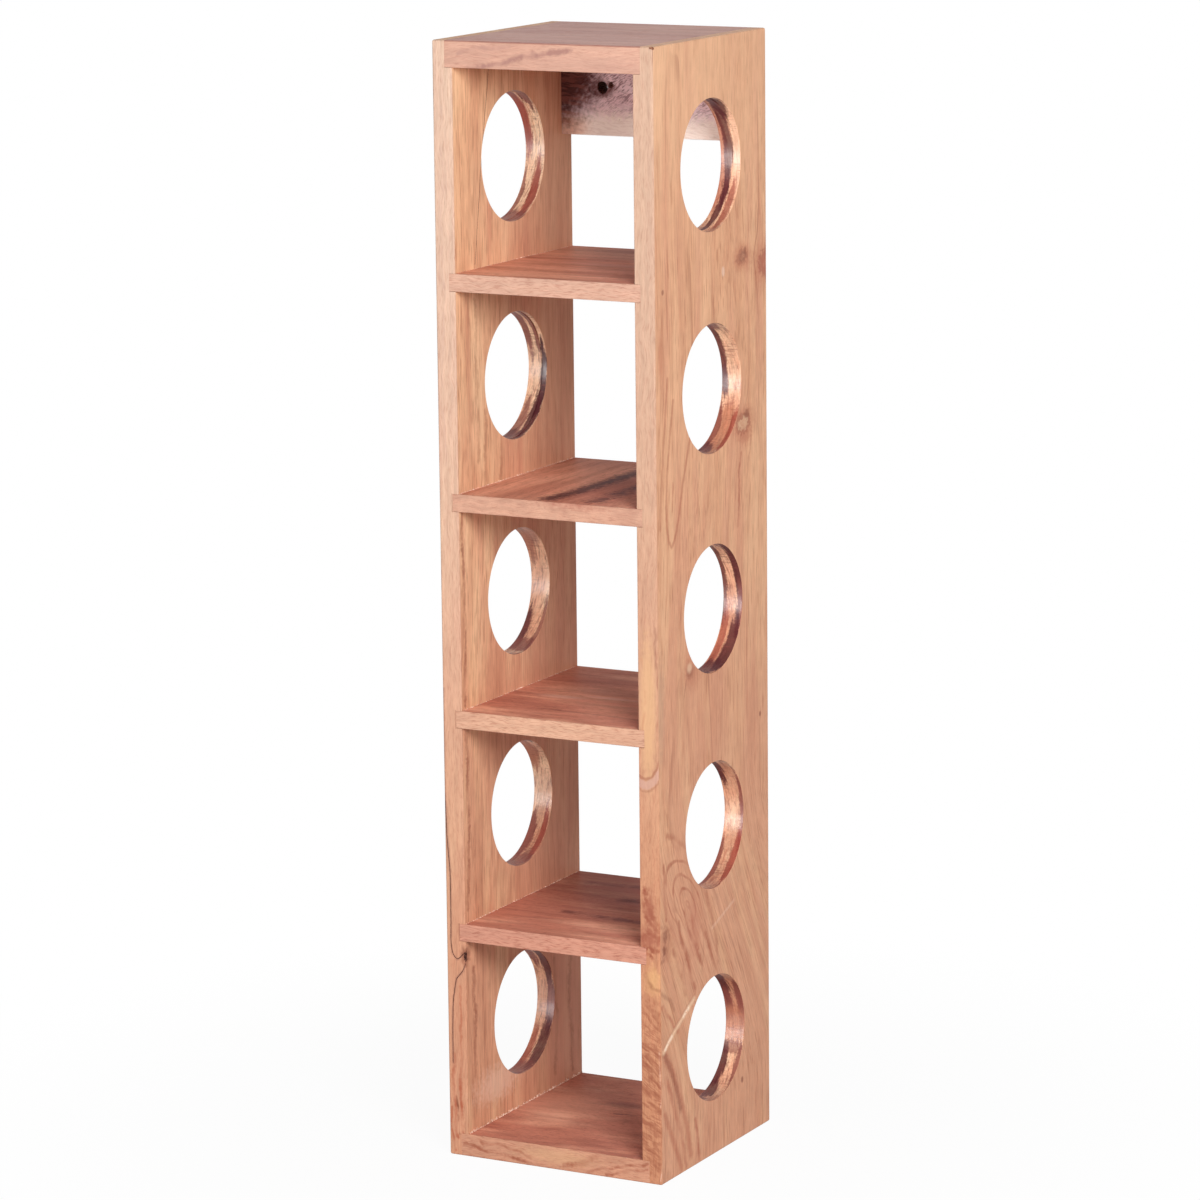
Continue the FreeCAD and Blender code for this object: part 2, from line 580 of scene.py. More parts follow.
@dataclass
class SandedAndSheenedFront(Mark):
    """The front edge in a tone of its own, paler and whiter than the faces beside it: partly sanding,
    partly painted sheen. Where a foot tone is given, the tone grows paler and whiter from the foot
    upwards: painted light and sheen from above. It has fine mauve pores along its length and paler
    and darker patches. Pores are their size along x and z."""

    tone: tuple
    foot_tone: tuple = None
    pores: tuple = (0.8, 8.0)
    strength: float = 0.60

    EVENNESS = 0.75
    PATCHES = 0.50
    PATCH_SIZE = 3.5

    def paint(self, finish, site, colour):
        x, y, z = finish.parts(site.stray)
        front = finish.rise(finish.parts(site.spot)[Y], FRONT_Y + 1.3, FRONT_Y + 0.4)
        tone = self.tone
        # Paler and whiter higher up than at the foot: painted light and sheen from above
        if self.foot_tone:
            tone = finish.mix(finish.rise(z, 0.1 * TOP_Z, 0.9 * TOP_Z), self.foot_tone, self.tone)
        colour = finish.mix(front * self.EVENNESS, colour, tone)
        wide, tall = self.pores
        pores = finish.noise(finish.vector(x / wide, 0.0, z / tall), 3.0, 0.65)
        patch_spot = finish.vector(x / (self.PATCH_SIZE * wide), 9.0, z / (self.PATCH_SIZE * tall))
        patches = finish.noise(patch_spot, 3.0, 0.6)
        colour = finish.times(colour, 1.0 + self.PATCHES * front * (patches - 0.5))
        share = finish.rise(pores, 0.44, 0.72) * front * self.strength
        return finish.mix(share, colour, PORE_TINT, "MULTIPLY")


# Burn: on which hole's wall (counted from the foot), how far across it from the inner face, at what
# angle above its middle in degrees, how wide and long, its colour, and how strong
Burn = namedtuple("Burn", "hole across turn wide long colour strength")


@dataclass
class BoredWalls(Mark):
    """What boring leaves on the hole walls: dark end grain above and below, streaks and scorched
    bands that run round with the cutter, and chatter across it."""

    burns: list

    SKEW = 0.07
    WANDERING = 1.6
    ONE_HOLE = 0.3

    def wall(self, finish, spot):
        """A point as across from the inner face, the angle above a hole's middle, and the hole."""
        x, y, z = finish.parts(spot)
        across = finish.math("ABSOLUTE", x) - INNER_X
        bay = (z - HOLE_HEIGHTS[0]) / HOLE_PITCH
        hole = finish.math("ROUND", bay)
        up = (bay - hole) * HOLE_PITCH
        turn = finish.math("ARCTAN2", up, finish.math("ABSOLUTE", y)) * math.degrees(1)
        return across, turn, hole

    def paint(self, finish, site, colour):
        across, turn, hole = self.wall(finish, site.spot)
        skewed = across + self.SKEW * turn

        def wall_noise(axis, wide, long, seed, detail=2.0, roughness=0.5):
            """Noise so many millimetres wide and degrees long, and another one in each hole."""
            return finish.noise(finish.vector(axis / wide, turn / long, hole * seed), detail, roughness)

        end_grain = finish.rise(finish.math("ABSOLUTE", turn), 50, 88)
        colour = finish.mix(end_grain * 0.40, colour, UMBER)
        smear = wall_noise(skewed, 2.2, 26, 5, 4.0, 0.65) - 0.5
        streaks = wall_noise(skewed, 1.5, 16, 11, 3.0, 0.6)
        specks = wall_noise(across, 1.6, 2.2, 7, 3.0, 0.7) - 0.5
        colour = finish.mix(finish.rise(smear, -0.05, 0.20) * 0.35, colour, CINNAMON)
        colour = finish.mix(finish.rise(streaks, 0.50, 0.66) * 0.60, colour, UMBER)

        wander = finish.noise(finish.vector(turn / 34, hole * 3, 0.0), 1.0) - 0.5
        wall_spot = finish.vector(across + self.WANDERING * wander, turn, hole)
        ragged_edge = 1.5 * smear + 0.6 * specks
        for burn in self.burns:
            centre = (burn.across, burn.turn, burn.hole)
            size = (burn.wide, burn.long, self.ONE_HOLE)
            share = finish.rise(finish.reach(wall_spot, centre, size) + ragged_edge, 1.35, 0.85)
            colour = finish.mix(share * burn.strength, colour, burn.colour)

        chatter = wall_noise(across, 11, 2.0, 9)
        chattered = finish.rise(wall_noise(across, 12, 24, 4), 0.44, 0.62)
        colour = finish.mix(finish.rise(chatter, 0.50, 0.66) * chattered * 0.45, colour, UMBER)
        return finish.times(colour, 1.08 + smear + 0.4 * specks)

    def polish(self, finish, site):
        """Long grain comes off the cutter shiny, half-way up a wall."""
        turn = self.wall(finish, site.spot)[1]
        broken = 0.6 + 0.4 * finish.rise(site.ragged, -0.25, 0.10)
        return finish.rise(finish.math("ABSOLUTE", turn + 3), 34, 4) * broken


def grain_axes(axes, grain):
    """A point's axes as along the grain, across the board's width and through its thickness."""
    x, y, z = axes
    if grain == "z":
        return z, y, x
    if grain == "y":
        return y, x, z
    return x, y, z


def wood(name, log, tones, surface, marks=()):
    """A board's wood: rings that wander, streaks, pores and clouds of colour, then its own marks."""
    finish = Finish(bpy.data.materials.new(name))
    marks = laid_together(marks)
    spot = finish.place()
    axes = finish.parts(spot)
    along, wide, thick = grain_axes(axes, log.grain)
    if log.sweep:
        wide = wide - log.sweep * finish.rise(along, SWEEP_START, SWEEP_END)

    # The heart's line wanders slowly, and the rings waver a little about it
    def wandering(wander):
        run = along / wander.wave_long + log.seed
        return finish.drift(finish.vector(wide / wander.wave_wide, thick / wander.wave_wide, run))

    slow = wandering(SLOW)
    quick = wandering(QUICK)
    u = wide - log.heart[0] - along * log.lean[0] + SLOW.wide * slow[0] + QUICK.wide * quick[0]
    v = thick - log.heart[1] - along * log.lean[1] + SLOW.thick * slow[1] + QUICK.thick * quick[1]
    radius = finish.math("SQRT", u * u + v * v)
    for mark in marks:
        radius = mark.bend(finish, spot, radius)

    def drawn_out(width, length, seed=0.0, detail=2.0, roughness=0.5):
        """Noise drawn out along the grain."""
        run = along / length
        if seed:
            run = run + seed
        return finish.noise(finish.vector(u / width, v / width, run), detail, roughness)

    # Each ring darkens towards its end, but only some years end in a dark line
    years = radius / log.ring + 1.2 * finish.ripple(radius / 23 + log.seed)
    part_year = finish.math("FRACT", years)
    vigour = finish.rise(finish.chance(finish.math("FLOOR", years) + log.seed), 0.30, 1.0)
    late = finish.rise(part_year, 0.80, 0.96) * finish.rise(part_year, 1.0, 0.98)
    line = late * vigour * finish.rise(drawn_out(20, 100, log.seed), 0.40, 0.64)

    # Soft bands and clouds follow the rings, and finer streaks, fibres and pores run along them
    band = drawn_out(10, 170, log.seed)
    cloud = drawn_out(26, 200, log.seed)
    blush = drawn_out(18, 150, -log.seed)
    streak = drawn_out(2.2, surface.streak_long, log.seed, 3.0, 0.65)
    fibre = drawn_out(0.7, 12, 0.0, 3.0, 0.70)
    smudge = finish.noise(finish.counted(axes, 13, 13, 13), 3.0, 0.6)
    pores = finish.rise(drawn_out(surface.pore_wide, surface.pore_long, 0.0, 1.0), 0.56, 0.70)

    colour = finish.mix(finish.rise(cloud, 0.36, 0.64), tones.pale, tones.warm)
    # Rosier lower down and paler higher up: painted light and sheen that fade towards the foot
    low_down = 0.5 - finish.rise(axes[Z], 0.0, TOP_Z)
    colour = finish.mix(finish.rise(blush + 0.22 * low_down, 0.40, 0.62), colour, tones.rosy)
    colour = finish.mix(finish.rise(band, 0.42, 0.68) * surface.bands, colour, tones.deep)
    colour = finish.mix(finish.rise(streak, 0.44, 0.74) * surface.streaks, colour, tones.deep)
    colour = finish.mix(line * surface.lines, colour, tones.line)
    colour = finish.mix(pores * surface.pores, colour, tones.line)
    colour = finish.times(colour, 0.61 + 0.54 * fibre + 0.24 * smudge)

    ragged = finish.noise(finish.counted(axes, 2.6, 2.6, 2.6), 3.0) - 0.5
    stray = finish.drift(finish.counted(axes, 20, 20, 20), 2.0)
    strayed = [axis + STRAYING * share for axis, share in zip(axes, stray)]
    fade = 0.45 + 0.75 * finish.rise(finish.noise(finish.counted(axes, 11, 11, 18)), 0.38, 0.60)
    site = Site(spot, finish.vector(*strayed), ragged, fade)
    polish = 0.0
    for mark in marks:
        colour = mark.paint(finish, site, colour)
        polish = polish + mark.polish(finish, site)

    roughness = surface.rough - 0.06 + 0.14 * streak + 0.10 * pores
    relief = 0.6 * fibre - 0.8 * pores - 0.5 * line
    return finish.shade(colour, roughness, relief, surface.relief, surface.specular, polish)


def speckled(name, sizes, dark, light, rough, relief, specular):
    """Plain wood with no rings: one noise of the given sizes between two colours. Rough is its least
    roughness and how much the noise adds."""
    finish = Finish(bpy.data.materials.new(name))
    grit = finish.noise(finish.counted(finish.parts(finish.place()), *sizes), 3.0)
    colour = finish.mix(finish.rise(grit, 0.3, 0.7), dark, light)
    least, added = rough
    return finish.shade(colour, least + added * grit, grit, relief, specular)


def broken_wood(name, dark, light):
    """Rough broken wood and the dirt in it, in cracks, chips and screw holes."""
    return speckled(name, (0.8, 0.8, 0.8), dark, light, (0.80, 0.15), 0.15, 0.05)


def torn_fibre(name):
    """Pale raised fibres where a cutter has torn the wood."""
    shadow = (0.56, 0.29, 0.19)
    tip = (0.96, 0.72, 0.58)
    return speckled(name, (0.9, 0.9, 0.9), shadow, tip, (0.6, 0.2), 0.1, 0.2)


def peg_wood(name):
    """Bare pale dowels with a fine straight grain along them."""
    pale = (0.72, 0.52, 0.33)
    dark = (0.56, 0.37, 0.22)
    return speckled(name, (9, 0.5, 0.5), pale, dark, (0.55, 0.15), 0.05, 0.4)


# Bench tools

SAME_PLACE = 0.01
SMOOTH_ANGLE = math.radians(42)


def pick_only(piece):
    bpy.ops.object.select_all(action="DESELECT")
    piece.select_set(True)
    bpy.context.view_layer.objects.active = piece


def settle(piece):
    """Put a piece's place, turn and scale into its mesh."""
    pick_only(piece)
    bpy.ops.object.transform_apply(location=True, rotation=True, scale=True)


def block(name, low, high):
    """A sawn blank between two corners, in millimetres."""
    bpy.ops.object.select_all(action="DESELECT")
    bpy.ops.mesh.primitive_cube_add(size=1.0, location=(low + high) / 2 * MM)
    blank = bpy.context.active_object
    blank.name = name
    blank.scale = (high - low) * MM
    settle(blank)
    return blank


def board_blank(node, material):
    """A blank as large as a CAD node, under its name."""
    board = block(node, *corners(node))
    board.data.materials.append(material)
    return board


def pick_edges(piece, wanted):
    """Select the edges that a test of their two ends, in millimetres, picks out."""
    mesh = piece.data
    for group in (mesh.vertices, mesh.edges, mesh.polygons):
        group.foreach_set("select", [False] * len(group))
    for edge in mesh.edges:
        first, last = (mesh.vertices[index].co / MM for index in edge.vertices)
        edge.select = wanted(first, last)


def ease(piece, radius, wanted, segments=3):
    """Round the picked edges."""
    pick_only(piece)
    pick_edges(piece, wanted)
    bpy.context.tool_settings.mesh_select_mode = (False, True, False)
    bpy.ops.object.mode_set(mode="EDIT")
    bpy.ops.mesh.bevel(offset=radius * MM, segments=segments, affect="EDGES", clamp_overlap=False)
    bpy.ops.object.mode_set(mode="OBJECT")


def apply_modifier(piece, kind, settings):
    pick_only(piece)
    tool = piece.modifiers.new(kind.lower(), kind)
    for name, value in settings.items():
        setattr(tool, name, value)
    bpy.ops.object.modifier_apply(modifier=tool.name)


def cut(piece, cutter):
    """Take a cutter out of a piece. The cut faces keep the cutter's material, if it has one."""
    settings = {
        "operation": "DIFFERENCE",
        "solver": "EXACT",
        "object": cutter,
        "material_mode": "TRANSFER",
    }
    apply_modifier(piece, "BOOLEAN", settings)
    bpy.data.objects.remove(cutter)


def at(value, place):
    return abs(value - place) < SAME_PLACE


def finish_piece(piece, node=None):
    """Smooth the rounded edges, keep the flats flat, and put the piece on the rack."""
    pick_only(piece)
    bpy.ops.object.shade_smooth_by_angle(angle=SMOOTH_ANGLE)
    apply_modifier(piece, "WEIGHTED_NORMAL", {"keep_sharp": True})
    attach(piece, "root")
    if node:
        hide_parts(node)
    return piece


# Cutters

# How far outside the wood a boring cutter starts, how long the slope of a step in it is, and a depth
# at which it is through
BORE_LEAD = 5.0
STEP_RUN = 0.12
THROUGH = 25


def bore_cutter(side, height, steps, material):
    """A round cutter across one side. Steps are pairs: the distance in from the outer face, where
    that step ends, and how much wider than the hole it is."""
    start_x = side * (OUTER_X + BORE_LEAD)
    bpy.ops.object.select_all(action="DESELECT")
    bpy.ops.mesh.primitive_circle_add(
        vertices=144,
        radius=HOLE_RADIUS * MM,
        fill_type="NGON",
        location=(start_x * MM, 0, height * MM),
        rotation=(0, math.radians(90), 0),
    )
    cutter = bpy.context.active_object
    settle(cutter)

    def go_in(distance):
        run = (-side * distance * MM, 0, 0)
        bpy.ops.mesh.extrude_region_move(TRANSFORM_OT_translate={"value": run})

    bpy.ops.object.mode_set(mode="EDIT")
    bpy.ops.mesh.select_all(action="SELECT")
    reached = -BORE_LEAD
    size = HOLE_RADIUS
    for end, extra in steps:
        wanted = HOLE_RADIUS + extra
        if wanted != size:
            go_in(STEP_RUN)
            share = wanted / size
            bpy.ops.transform.resize(value=(1, share, share), center_override=(0, 0, height * MM))
            size = wanted
            reached = reached + STEP_RUN
        go_in(end - reached)
        reached = end
    bpy.ops.mesh.select_all(action="SELECT")
    bpy.ops.mesh.normals_make_consistent(inside=False)
    bpy.ops.object.mode_set(mode="OBJECT")
    cutter.data.materials.append(material)
    return cutter


def groove_cutter(points, radii, material, roundness=1, smooth=False):
    """A round-nosed cutter along a line of points, as thick at each point as its radius."""
    line = bpy.data.curves.new("groove", "CURVE")
    line.dimensions = "3D"
    line.bevel_depth = MM
    line.bevel_resolution = roundness
    line.use_fill_caps = True
    spline = line.splines.new("NURBS" if smooth else "POLY")
    spline.points.add(len(points) - 1)
    for point, place, radius in zip(spline.points, points, radii):
        point.co = (*(Vector(place) * MM), 1)
        point.radius = radius
    if smooth:
        spline.order_u = 3
        spline.use_endpoint_u = True
        spline.resolution_u = 4
    cutter = bpy.data.objects.new("groove", line)
    bpy.context.collection.objects.link(cutter)
    pick_only(cutter)
    bpy.ops.object.convert(target="MESH")
    cutter.data.materials.append(material)
    return cutter


def lump_cutter(centre, radii, seed, material, unevenness=0.25):
    """An uneven lump, for torn and broken places."""
    bpy.ops.object.select_all(action="DESELECT")
    bpy.ops.mesh.primitive_ico_sphere_add(subdivisions=3, radius=1.0)
    cutter = bpy.context.active_object
    draw = random.Random(seed)
    for vertex in cutter.data.vertices:
        vertex.co = vertex.co * (1 + draw.uniform(-unevenness, unevenness))
    cutter.location = Vector(centre) * MM
    cutter.scale = Vector(radii) * MM
    settle(cutter)
    cutter.data.materials.append(material)
    return cutter


# Boards

# How far a housing's cutter runs out past a board, the shortest edge of a bay, the longest edge in a
# hole's rim, and how squarely a face has to look to the front
HOUSING_RUN_OUT = 10
SHORTEST_BAY = 1
LONGEST_RIM_EDGE = 3
FRONTWARDS = -0.7

# Screw holes: how far before and behind the rail's front the cutter starts and ends, and its radius at
# the end, then the torn mouth and the nick beside it, each as its place from the mouth and its radii
SCREW_LEAD = 4
SCREW_RUN = 20
SCREW_END_RADIUS = 2.8
TORN_MOUTH = (Vector((-3, 0, -1)), (7.0, 1.2, 4.2))
MOUTH_NICK = (Vector((6.4, 0, 1.9)), (1.6, 1.4, 2.2))

# Fibres: how far they keep from a board's front and back, how far out from the side's face the middle
# of a root is, and how deep it is in the board
FRINGE_MARGIN = 1
ROOT_OUT = 0.05
ROOT_DEPTH = 0.1


def side_board(name, side, material, wall_material, hole_steps):
    """An upright with its outer corners rounded, its housings cut and its bottle holes bored."""
    board = board_blank(name, material)
    inner = side * INNER_X

    def not_inside(first, last):
        return not (at(first.x, inner) and at(last.x, inner))

    ease(board, OUTER_EASING, not_inside)

    gap = Vector((HOUSING_GAP, HOUSING_RUN_OUT, HOUSING_GAP))
    for node in LEVEL_BOARDS:
        low, high = corners(node)
        cut(board, block("housing", low - gap, high + gap))

    def bay_arris(first, last):
        on_inside = at(first.x, inner) and at(last.x, inner) and at(first.y, last.y)
        return on_inside and at(abs(first.y), -FRONT_Y) and abs(first.z - last.z) > SHORTEST_BAY

    ease(board, ARRIS_EASING, bay_arris)

    for height, steps in zip(HOLE_HEIGHTS, hole_steps):
        cut(board, bore_cutter(side, height, steps, wall_material))

    def hole_rim(first, last):
        on_face = at(first.x, last.x) and (at(first.x, inner) or at(first.x, side * OUTER_X))
        short = (first - last).length < LONGEST_RIM_EDGE
        return on_face and short and abs(first.y) < HOLE_RADIUS + 1

    ease(board, RIM_EASING, hole_rim, 2)
    return board


def face_front(board, material):
    """Give a board's wooden faces towards the front a material of their own."""
    board.data.materials.append(material)
    for face in board.data.polygons:
        if face.material_index == 0 and face.normal.y < FRONTWARDS:
            face.material_index = len(board.data.materials) - 1


def level_board(name, material, top_easing, under_easing):
    """A board from housing to housing with its long edges eased."""
    board = board_blank(name, material)
    low, high = corners(name)

    def long_edge(first, last):
        return at(first.y, last.y) and at(first.z, last.z) and at(abs(first.y), -FRONT_Y)

    ease(board, top_easing, lambda a, b: long_edge(a, b) and at(a.z, high.z))
    ease(board, under_easing, lambda a, b: long_edge(a, b) and at(a.z, low.z))
    return board


def bored_rail(name, material, hole_material):
    """The rail: its lower arris eased, and two screw holes that taper from torn mouths."""
    board = board_blank(name, material)
    low = corners(name)[0]

    def lower_arris(first, last):
        return at(first.y, last.y) and at(first.z, low.z) and at(last.z, low.z)

    ease(board, ARRIS_EASING, lower_arris)
    for side in (-1, 1):
        mouth = Vector(RAIL.spot(side * SCREW_REACH, SCREW_HEIGHT))
        offset, radii = TORN_MOUTH
        cut(board, lump_cutter(mouth + offset, radii, 7, material, 0.14))
        offset, radii = MOUTH_NICK
        cut(board, lump_cutter(mouth + offset, radii, 9, hole_material))
        ends = [mouth + Vector((0, depth, 0)) for depth in (-SCREW_LEAD, 0, SCREW_RUN)]
        cut(board, groove_cutter(ends, [SCREW_RADIUS, SCREW_RADIUS, SCREW_END_RADIUS], hole_material, 6))
    return board


def torn_fringe(name, floor_board, count, tallest, seed, material):
    """Short fibres standing along the joint between the left side and a level board."""
    draw = random.Random(seed)
    floor_z = corners(floor_board)[1].z
    spacing = -2 * (FRONT_Y + FRINGE_MARGIN) / count
    bpy.ops.object.select_all(action="DESELECT")
    bpy.ops.mesh.primitive_cone_add(vertices=5, radius1=0.5, radius2=0.12, depth=1.0)
    fibre = bpy.context.active_object
    bpy.ops.object.mode_set(mode="EDIT")
    bpy.ops.mesh.select_all(action="SELECT")
    bpy.ops.transform.translate(value=(0, 0, 0.5))
    bpy.ops.transform.resize(value=(0.5, 1.0, 1.0), center_override=(0, 0, 0))
    bpy.ops.object.mode_set(mode="OBJECT")
    copies = []
    for index in range(count):
        copy = fibre.copy()
        copy.data = fibre.data.copy()
        bpy.context.collection.objects.link(copy)
        y = FRONT_Y + FRINGE_MARGIN + (index + draw.random()) * spacing
        copy.location = Vector((-INNER_X + ROOT_OUT, y, floor_z - ROOT_DEPTH)) * MM
        thickness = draw.uniform(0.5, 1.5)
        tall = tallest * draw.uniform(0.3, 1.0)
        copy.scale = Vector((thickness * 0.6, thickness * 1.6, tall)) * MM
        lean = (draw.uniform(-0.9, 0.9), draw.uniform(-0.1, 0.8), draw.uniform(0, 3))
        copy.rotation_euler = lean
        copies.append(copy)
    bpy.data.objects.remove(fibre)
    bpy.ops.object.select_all(action="DESELECT")
    for copy in copies:
        copy.select_set(True)
    bpy.context.view_layer.objects.active = copies[0]
    bpy.ops.object.join()
    fringe = bpy.context.active_object
    fringe.name = name
    settle(fringe)
    fringe.data.materials.append(material)
    return fringe


# Marks on the sides

RIGHT_LOG = Log("z", 4.7, (-52, 118), (0.02, 0.04), 7.5, 80)
LEFT_LOG = Log("z", 11.3, (118, -30), (0.01, 0.02), 7.0)

# Bruises across the lower right face, as y and z
SCAR = [(-30.5, 108), (-41.2, 102.5), (-65.6, 89.1), (-72, 84)]
FAINT_SCAR = [(25.8, 157.8), (-5.2, 147.1)]

right_swells = [
    Swell(RIGHT.spot(-55, 520), (30, 9, 122), -8),
    Swell(RIGHT.spot(-30, 150), (30, 16, 34), 12, 0.40),
    Swell(RIGHT.spot(-52.5, 165), (30, 20, 42), 10, 0.20),
]
# The front edge, paler and whiter at the top than at the foot: painted sheen and light from above
right_corner = SandedAndSheenedFront((0.520, 0.360, 0.272), (0.500, 0.220, 0.118))

right_face_marks = [
    *right_swells,
    right_corner,
    # A long figure down from the upper hole
    Line(
        RIGHT.path(
            (-31, 460), (-36, 446), (-41, 433), (-45.5, 417), (-49.5, 406), (-53.6, 399), (-56, 397),
        ),
        1.9, EYE_LINE, 0.50, strays=False,
    ),
    Line(
        RIGHT.path(
            (-53, 486), (-58, 463), (-61.6, 441), (-63.2, 422), (-62.4, 410), (-60, 401), (-56.4, 397),
        ),
        1.8, EYE_LINE, 0.45, strays=False,
    ),
    Line(RIGHT.path((-60, 500), (-65, 469), (-68.6, 440), (-71, 410)), 1.8, EYE_LINE, 0.40, strays=False),
    Line(RIGHT.path((52, 452), (49.5, 432), (47, 411)), 1.7, EYE_LINE, 0.55),
    Line(RIGHT.path((39, 440), (36.6, 427), (33, 396)), 1.7, EYE_LINE, 0.50),
    # An eye of arched grain over a buried branch, with red grain sweeping down from it
    Arches(RIGHT.spot(-38, 170), (20, 9, 12), 0.55, (0.1, 3.6), 1.25, EYE_LINE, 0.60),
    Line(RIGHT.path((-68.5, 166), (-69.9, 187), (-69, 200)), 2.4, EYE_LINE, 0.60),
    Line(RIGHT.path((-31, 189), (-16.5, 175), (-7, 158), (0.3, 140), (2.6, 124)), 3.0, EYE_LINE, 0.40),
    Line(RIGHT.path((-66, 219), (-57, 217), (-40, 207.5)), 2.8, EYE_LINE, 0.40),
    Line(RIGHT.path((-43.4, 166), (-37.6, 154), (-30, 143), (-20, 128)), 2.8, EYE_LINE, 0.60),
    Line(RIGHT.path((-52, 160), (-46, 146), (-36, 128), (-30, 114)), 3.0, EYE_LINE, 0.55),
    Line(RIGHT.path((-58, 146), (-50, 130), (-41, 114)), 2.8, EYE_LINE, 0.45),
    Line(RIGHT.path((-18, 152), (-9, 134), (-2, 120)), 3.0, EYE_LINE, 0.50),
    StainOrPaintedLight(RIGHT.spot(-30, 153), (4, 8, 20), EYE_HEART, 0.45, 0.7),
    # Knots
    Knot(RIGHT.spot(42, 562), (20, 7.2, 4.6), (0.300, 0.120, 0.072), (0.30, 0.100, 0.060), 0.35),
    Knot(RIGHT.spot(75, 555), (20, 9.0, 8.0), (0.400, 0.125, 0.078), (0.30, 0.080, 0.050), 0.50, 6),
    Knot(RIGHT.spot(42.4, 459), (20, 8.2, 5.6), (0.620, 0.370, 0.230), (0.32, 0.110, 0.064), 0.60),
    # Red grain: in both figures, then slanting off from the corner below them, and as a haze
    Line(RIGHT.path((-54.8, 436), (-55.4, 419)), 1.4, KNOT_RED, 0.55),
    Line(RIGHT.path((-33, 162), (-29, 150), (-24, 138)), 2.2, KNOT_RED, 0.40),
    Line(
        RIGHT.path((-70.5, 81.3), (-58, 64.3), (-49, 46), (-43, 34), (-36, 9.3)),
        4.4, KNOT_RED, 0.55, strays=False,
    ),
    Line(RIGHT.path((-71, 43.6), (-64, 31), (-58.6, 21.8), (-49, 3.9)), 3.4, KNOT_RED, 0.50, strays=False),
    Line(RIGHT.path((-70, 66), (-60, 50), (-51, 30), (-43, 4)), 3.4, KNOT_RED, 0.55),
    Line(RIGHT.path((-30, 30), (-27, 16), (-25, 2)), 2.4, KNOT_RED, 0.60),
    Line(RIGHT.path((-74, 112), (-64, 104), (-54, 92)), 2.4, KNOT_RED, 0.65),
    StainOrPaintedLight(RIGHT.spot(44, 450), (20, 7.0, 6.0), KNOT_RED, 0.35, 0.7, 1.2),
    StainOrPaintedLight(RIGHT.spot(-30, 316), (20, 11, 10), KNOT_RED, 0.45, 0.8, 1.2),
    StainOrPaintedLight(RIGHT.spot(-66, 152), (20, 8, 11), KNOT_RED, 0.40, 0.7, 1.4),
    StainOrPaintedLight(RIGHT.spot(-69.6, 514), (3, 2.5, 13.0), KNOT_RED, 0.35, 0.6),
    Line(
        RIGHT.path((-29.5, 110), (-40.6, 104.6), (-65, 91.2), (-71.4, 86.4)),
        1.8, KNOT_RED, 0.50, strays=False,
    ),
    # Brown lines and spots
    Line(RIGHT.path((-71.5, 82), (-63, 71), (-55, 56), (-50, 42)), 3.0, KNOT_BROWN, 0.40, strays=False),
    Line(RIGHT.path((-76, 122.6), (-62.8, 114.6), (-58, 107.4)), 2.2, KNOT_BROWN, 0.35, strays=False),
    Line(RIGHT.path((-37, 312), (-41, 300)), 1.2, KNOT_BROWN, 0.40),
    StainOrPaintedLight(RIGHT.spot(46, 566), (3, 1.8, 2.0), KNOT_BROWN, 0.50, 0.6),
    StainOrPaintedLight(RIGHT.spot(47, 464), (3, 3.6, 2.6), KNOT_BROWN, 0.60, 0.6, 1.4),
    StainOrPaintedLight(RIGHT.spot(-33, 315.5), (3, 4.6, 4.0), KNOT_BROWN, 0.55, 0.5, 1.2),
    StainOrPaintedLight(RIGHT.spot(-69, 157), (6, 3.0, 4.0), KNOT_BROWN, 0.65, 0.8, 1.8),
    StainOrPaintedLight(RIGHT.spot(-70, 148), (6, 2.4, 3.2), KNOT_BROWN, 0.75, 0.7, 1.8),
    Line(RIGHT.path((-76, 163), (-68, 161), (-64, 154), (-67, 145), (-74, 141)), 2.2, KNOT_BROWN, 0.40, 1.6),
    StainOrPaintedLight(RIGHT.spot(-65.5, 553), (2, 1.6, 1.6), KNOT_BROWN, 0.6),
    StainOrPaintedLight(RIGHT.spot(64, 270), (2, 1.4, 1.6), KNOT_BROWN, 0.7),
    StainOrPaintedLight(RIGHT.spot(36, 38), (2, 1.6, 2.0), KNOT_BROWN, 0.7),
    # Pale, dark and dusty places, and the scars
    StainOrPaintedLight(RIGHT.spot(-33.5, 318), (3, 3.2, 3.0), KNOT_PALE, 0.80, 0.5),
    # Paler towards the top of the face: painted light falling from above
    StainOrPaintedLight(RIGHT.spot(0, TOP_Z), (20, 120, 80), (0.850, 0.540, 0.330), 0.24, 0.8, 0.3),
    StainOrPaintedLight(RIGHT.spot(10, 285), (20, 80, 60), (0.500, 0.210, 0.130), 0.22, 0.8, 0.3),
    StainOrPaintedLight(RIGHT.spot(-72, 298), (3, 4.5, 30.0), (0.36, 0.22, 0.16), 0.30, 0.6, 1.2),
    StainOrPaintedLight(RIGHT.spot(15.6, 556), (3, 2.0, 3.0), DUST_AND_GLINT, 0.55),
    Line(RIGHT.path(*FAINT_SCAR), 1.6, DUST_AND_GLINT, 0.25, strays=False),
    Line(RIGHT.path(*SCAR), 2.6, (0.78, 0.52, 0.34), 0.75, 0.6, strays=False),
    Line(RIGHT.path((-38, 104), (-45, 100.4)), 1.8, SCAR_CREAM, 0.70, strays=False),
    Line(RIGHT.path((-61, 91.6), (-70, 85.6)), 1.8, SCAR_CREAM, 0.70, strays=False),
]

# The lens: a centre on the front edge, and its radii
LENS = (FRONT.spot(66, 275), (9.5, 4, 18))

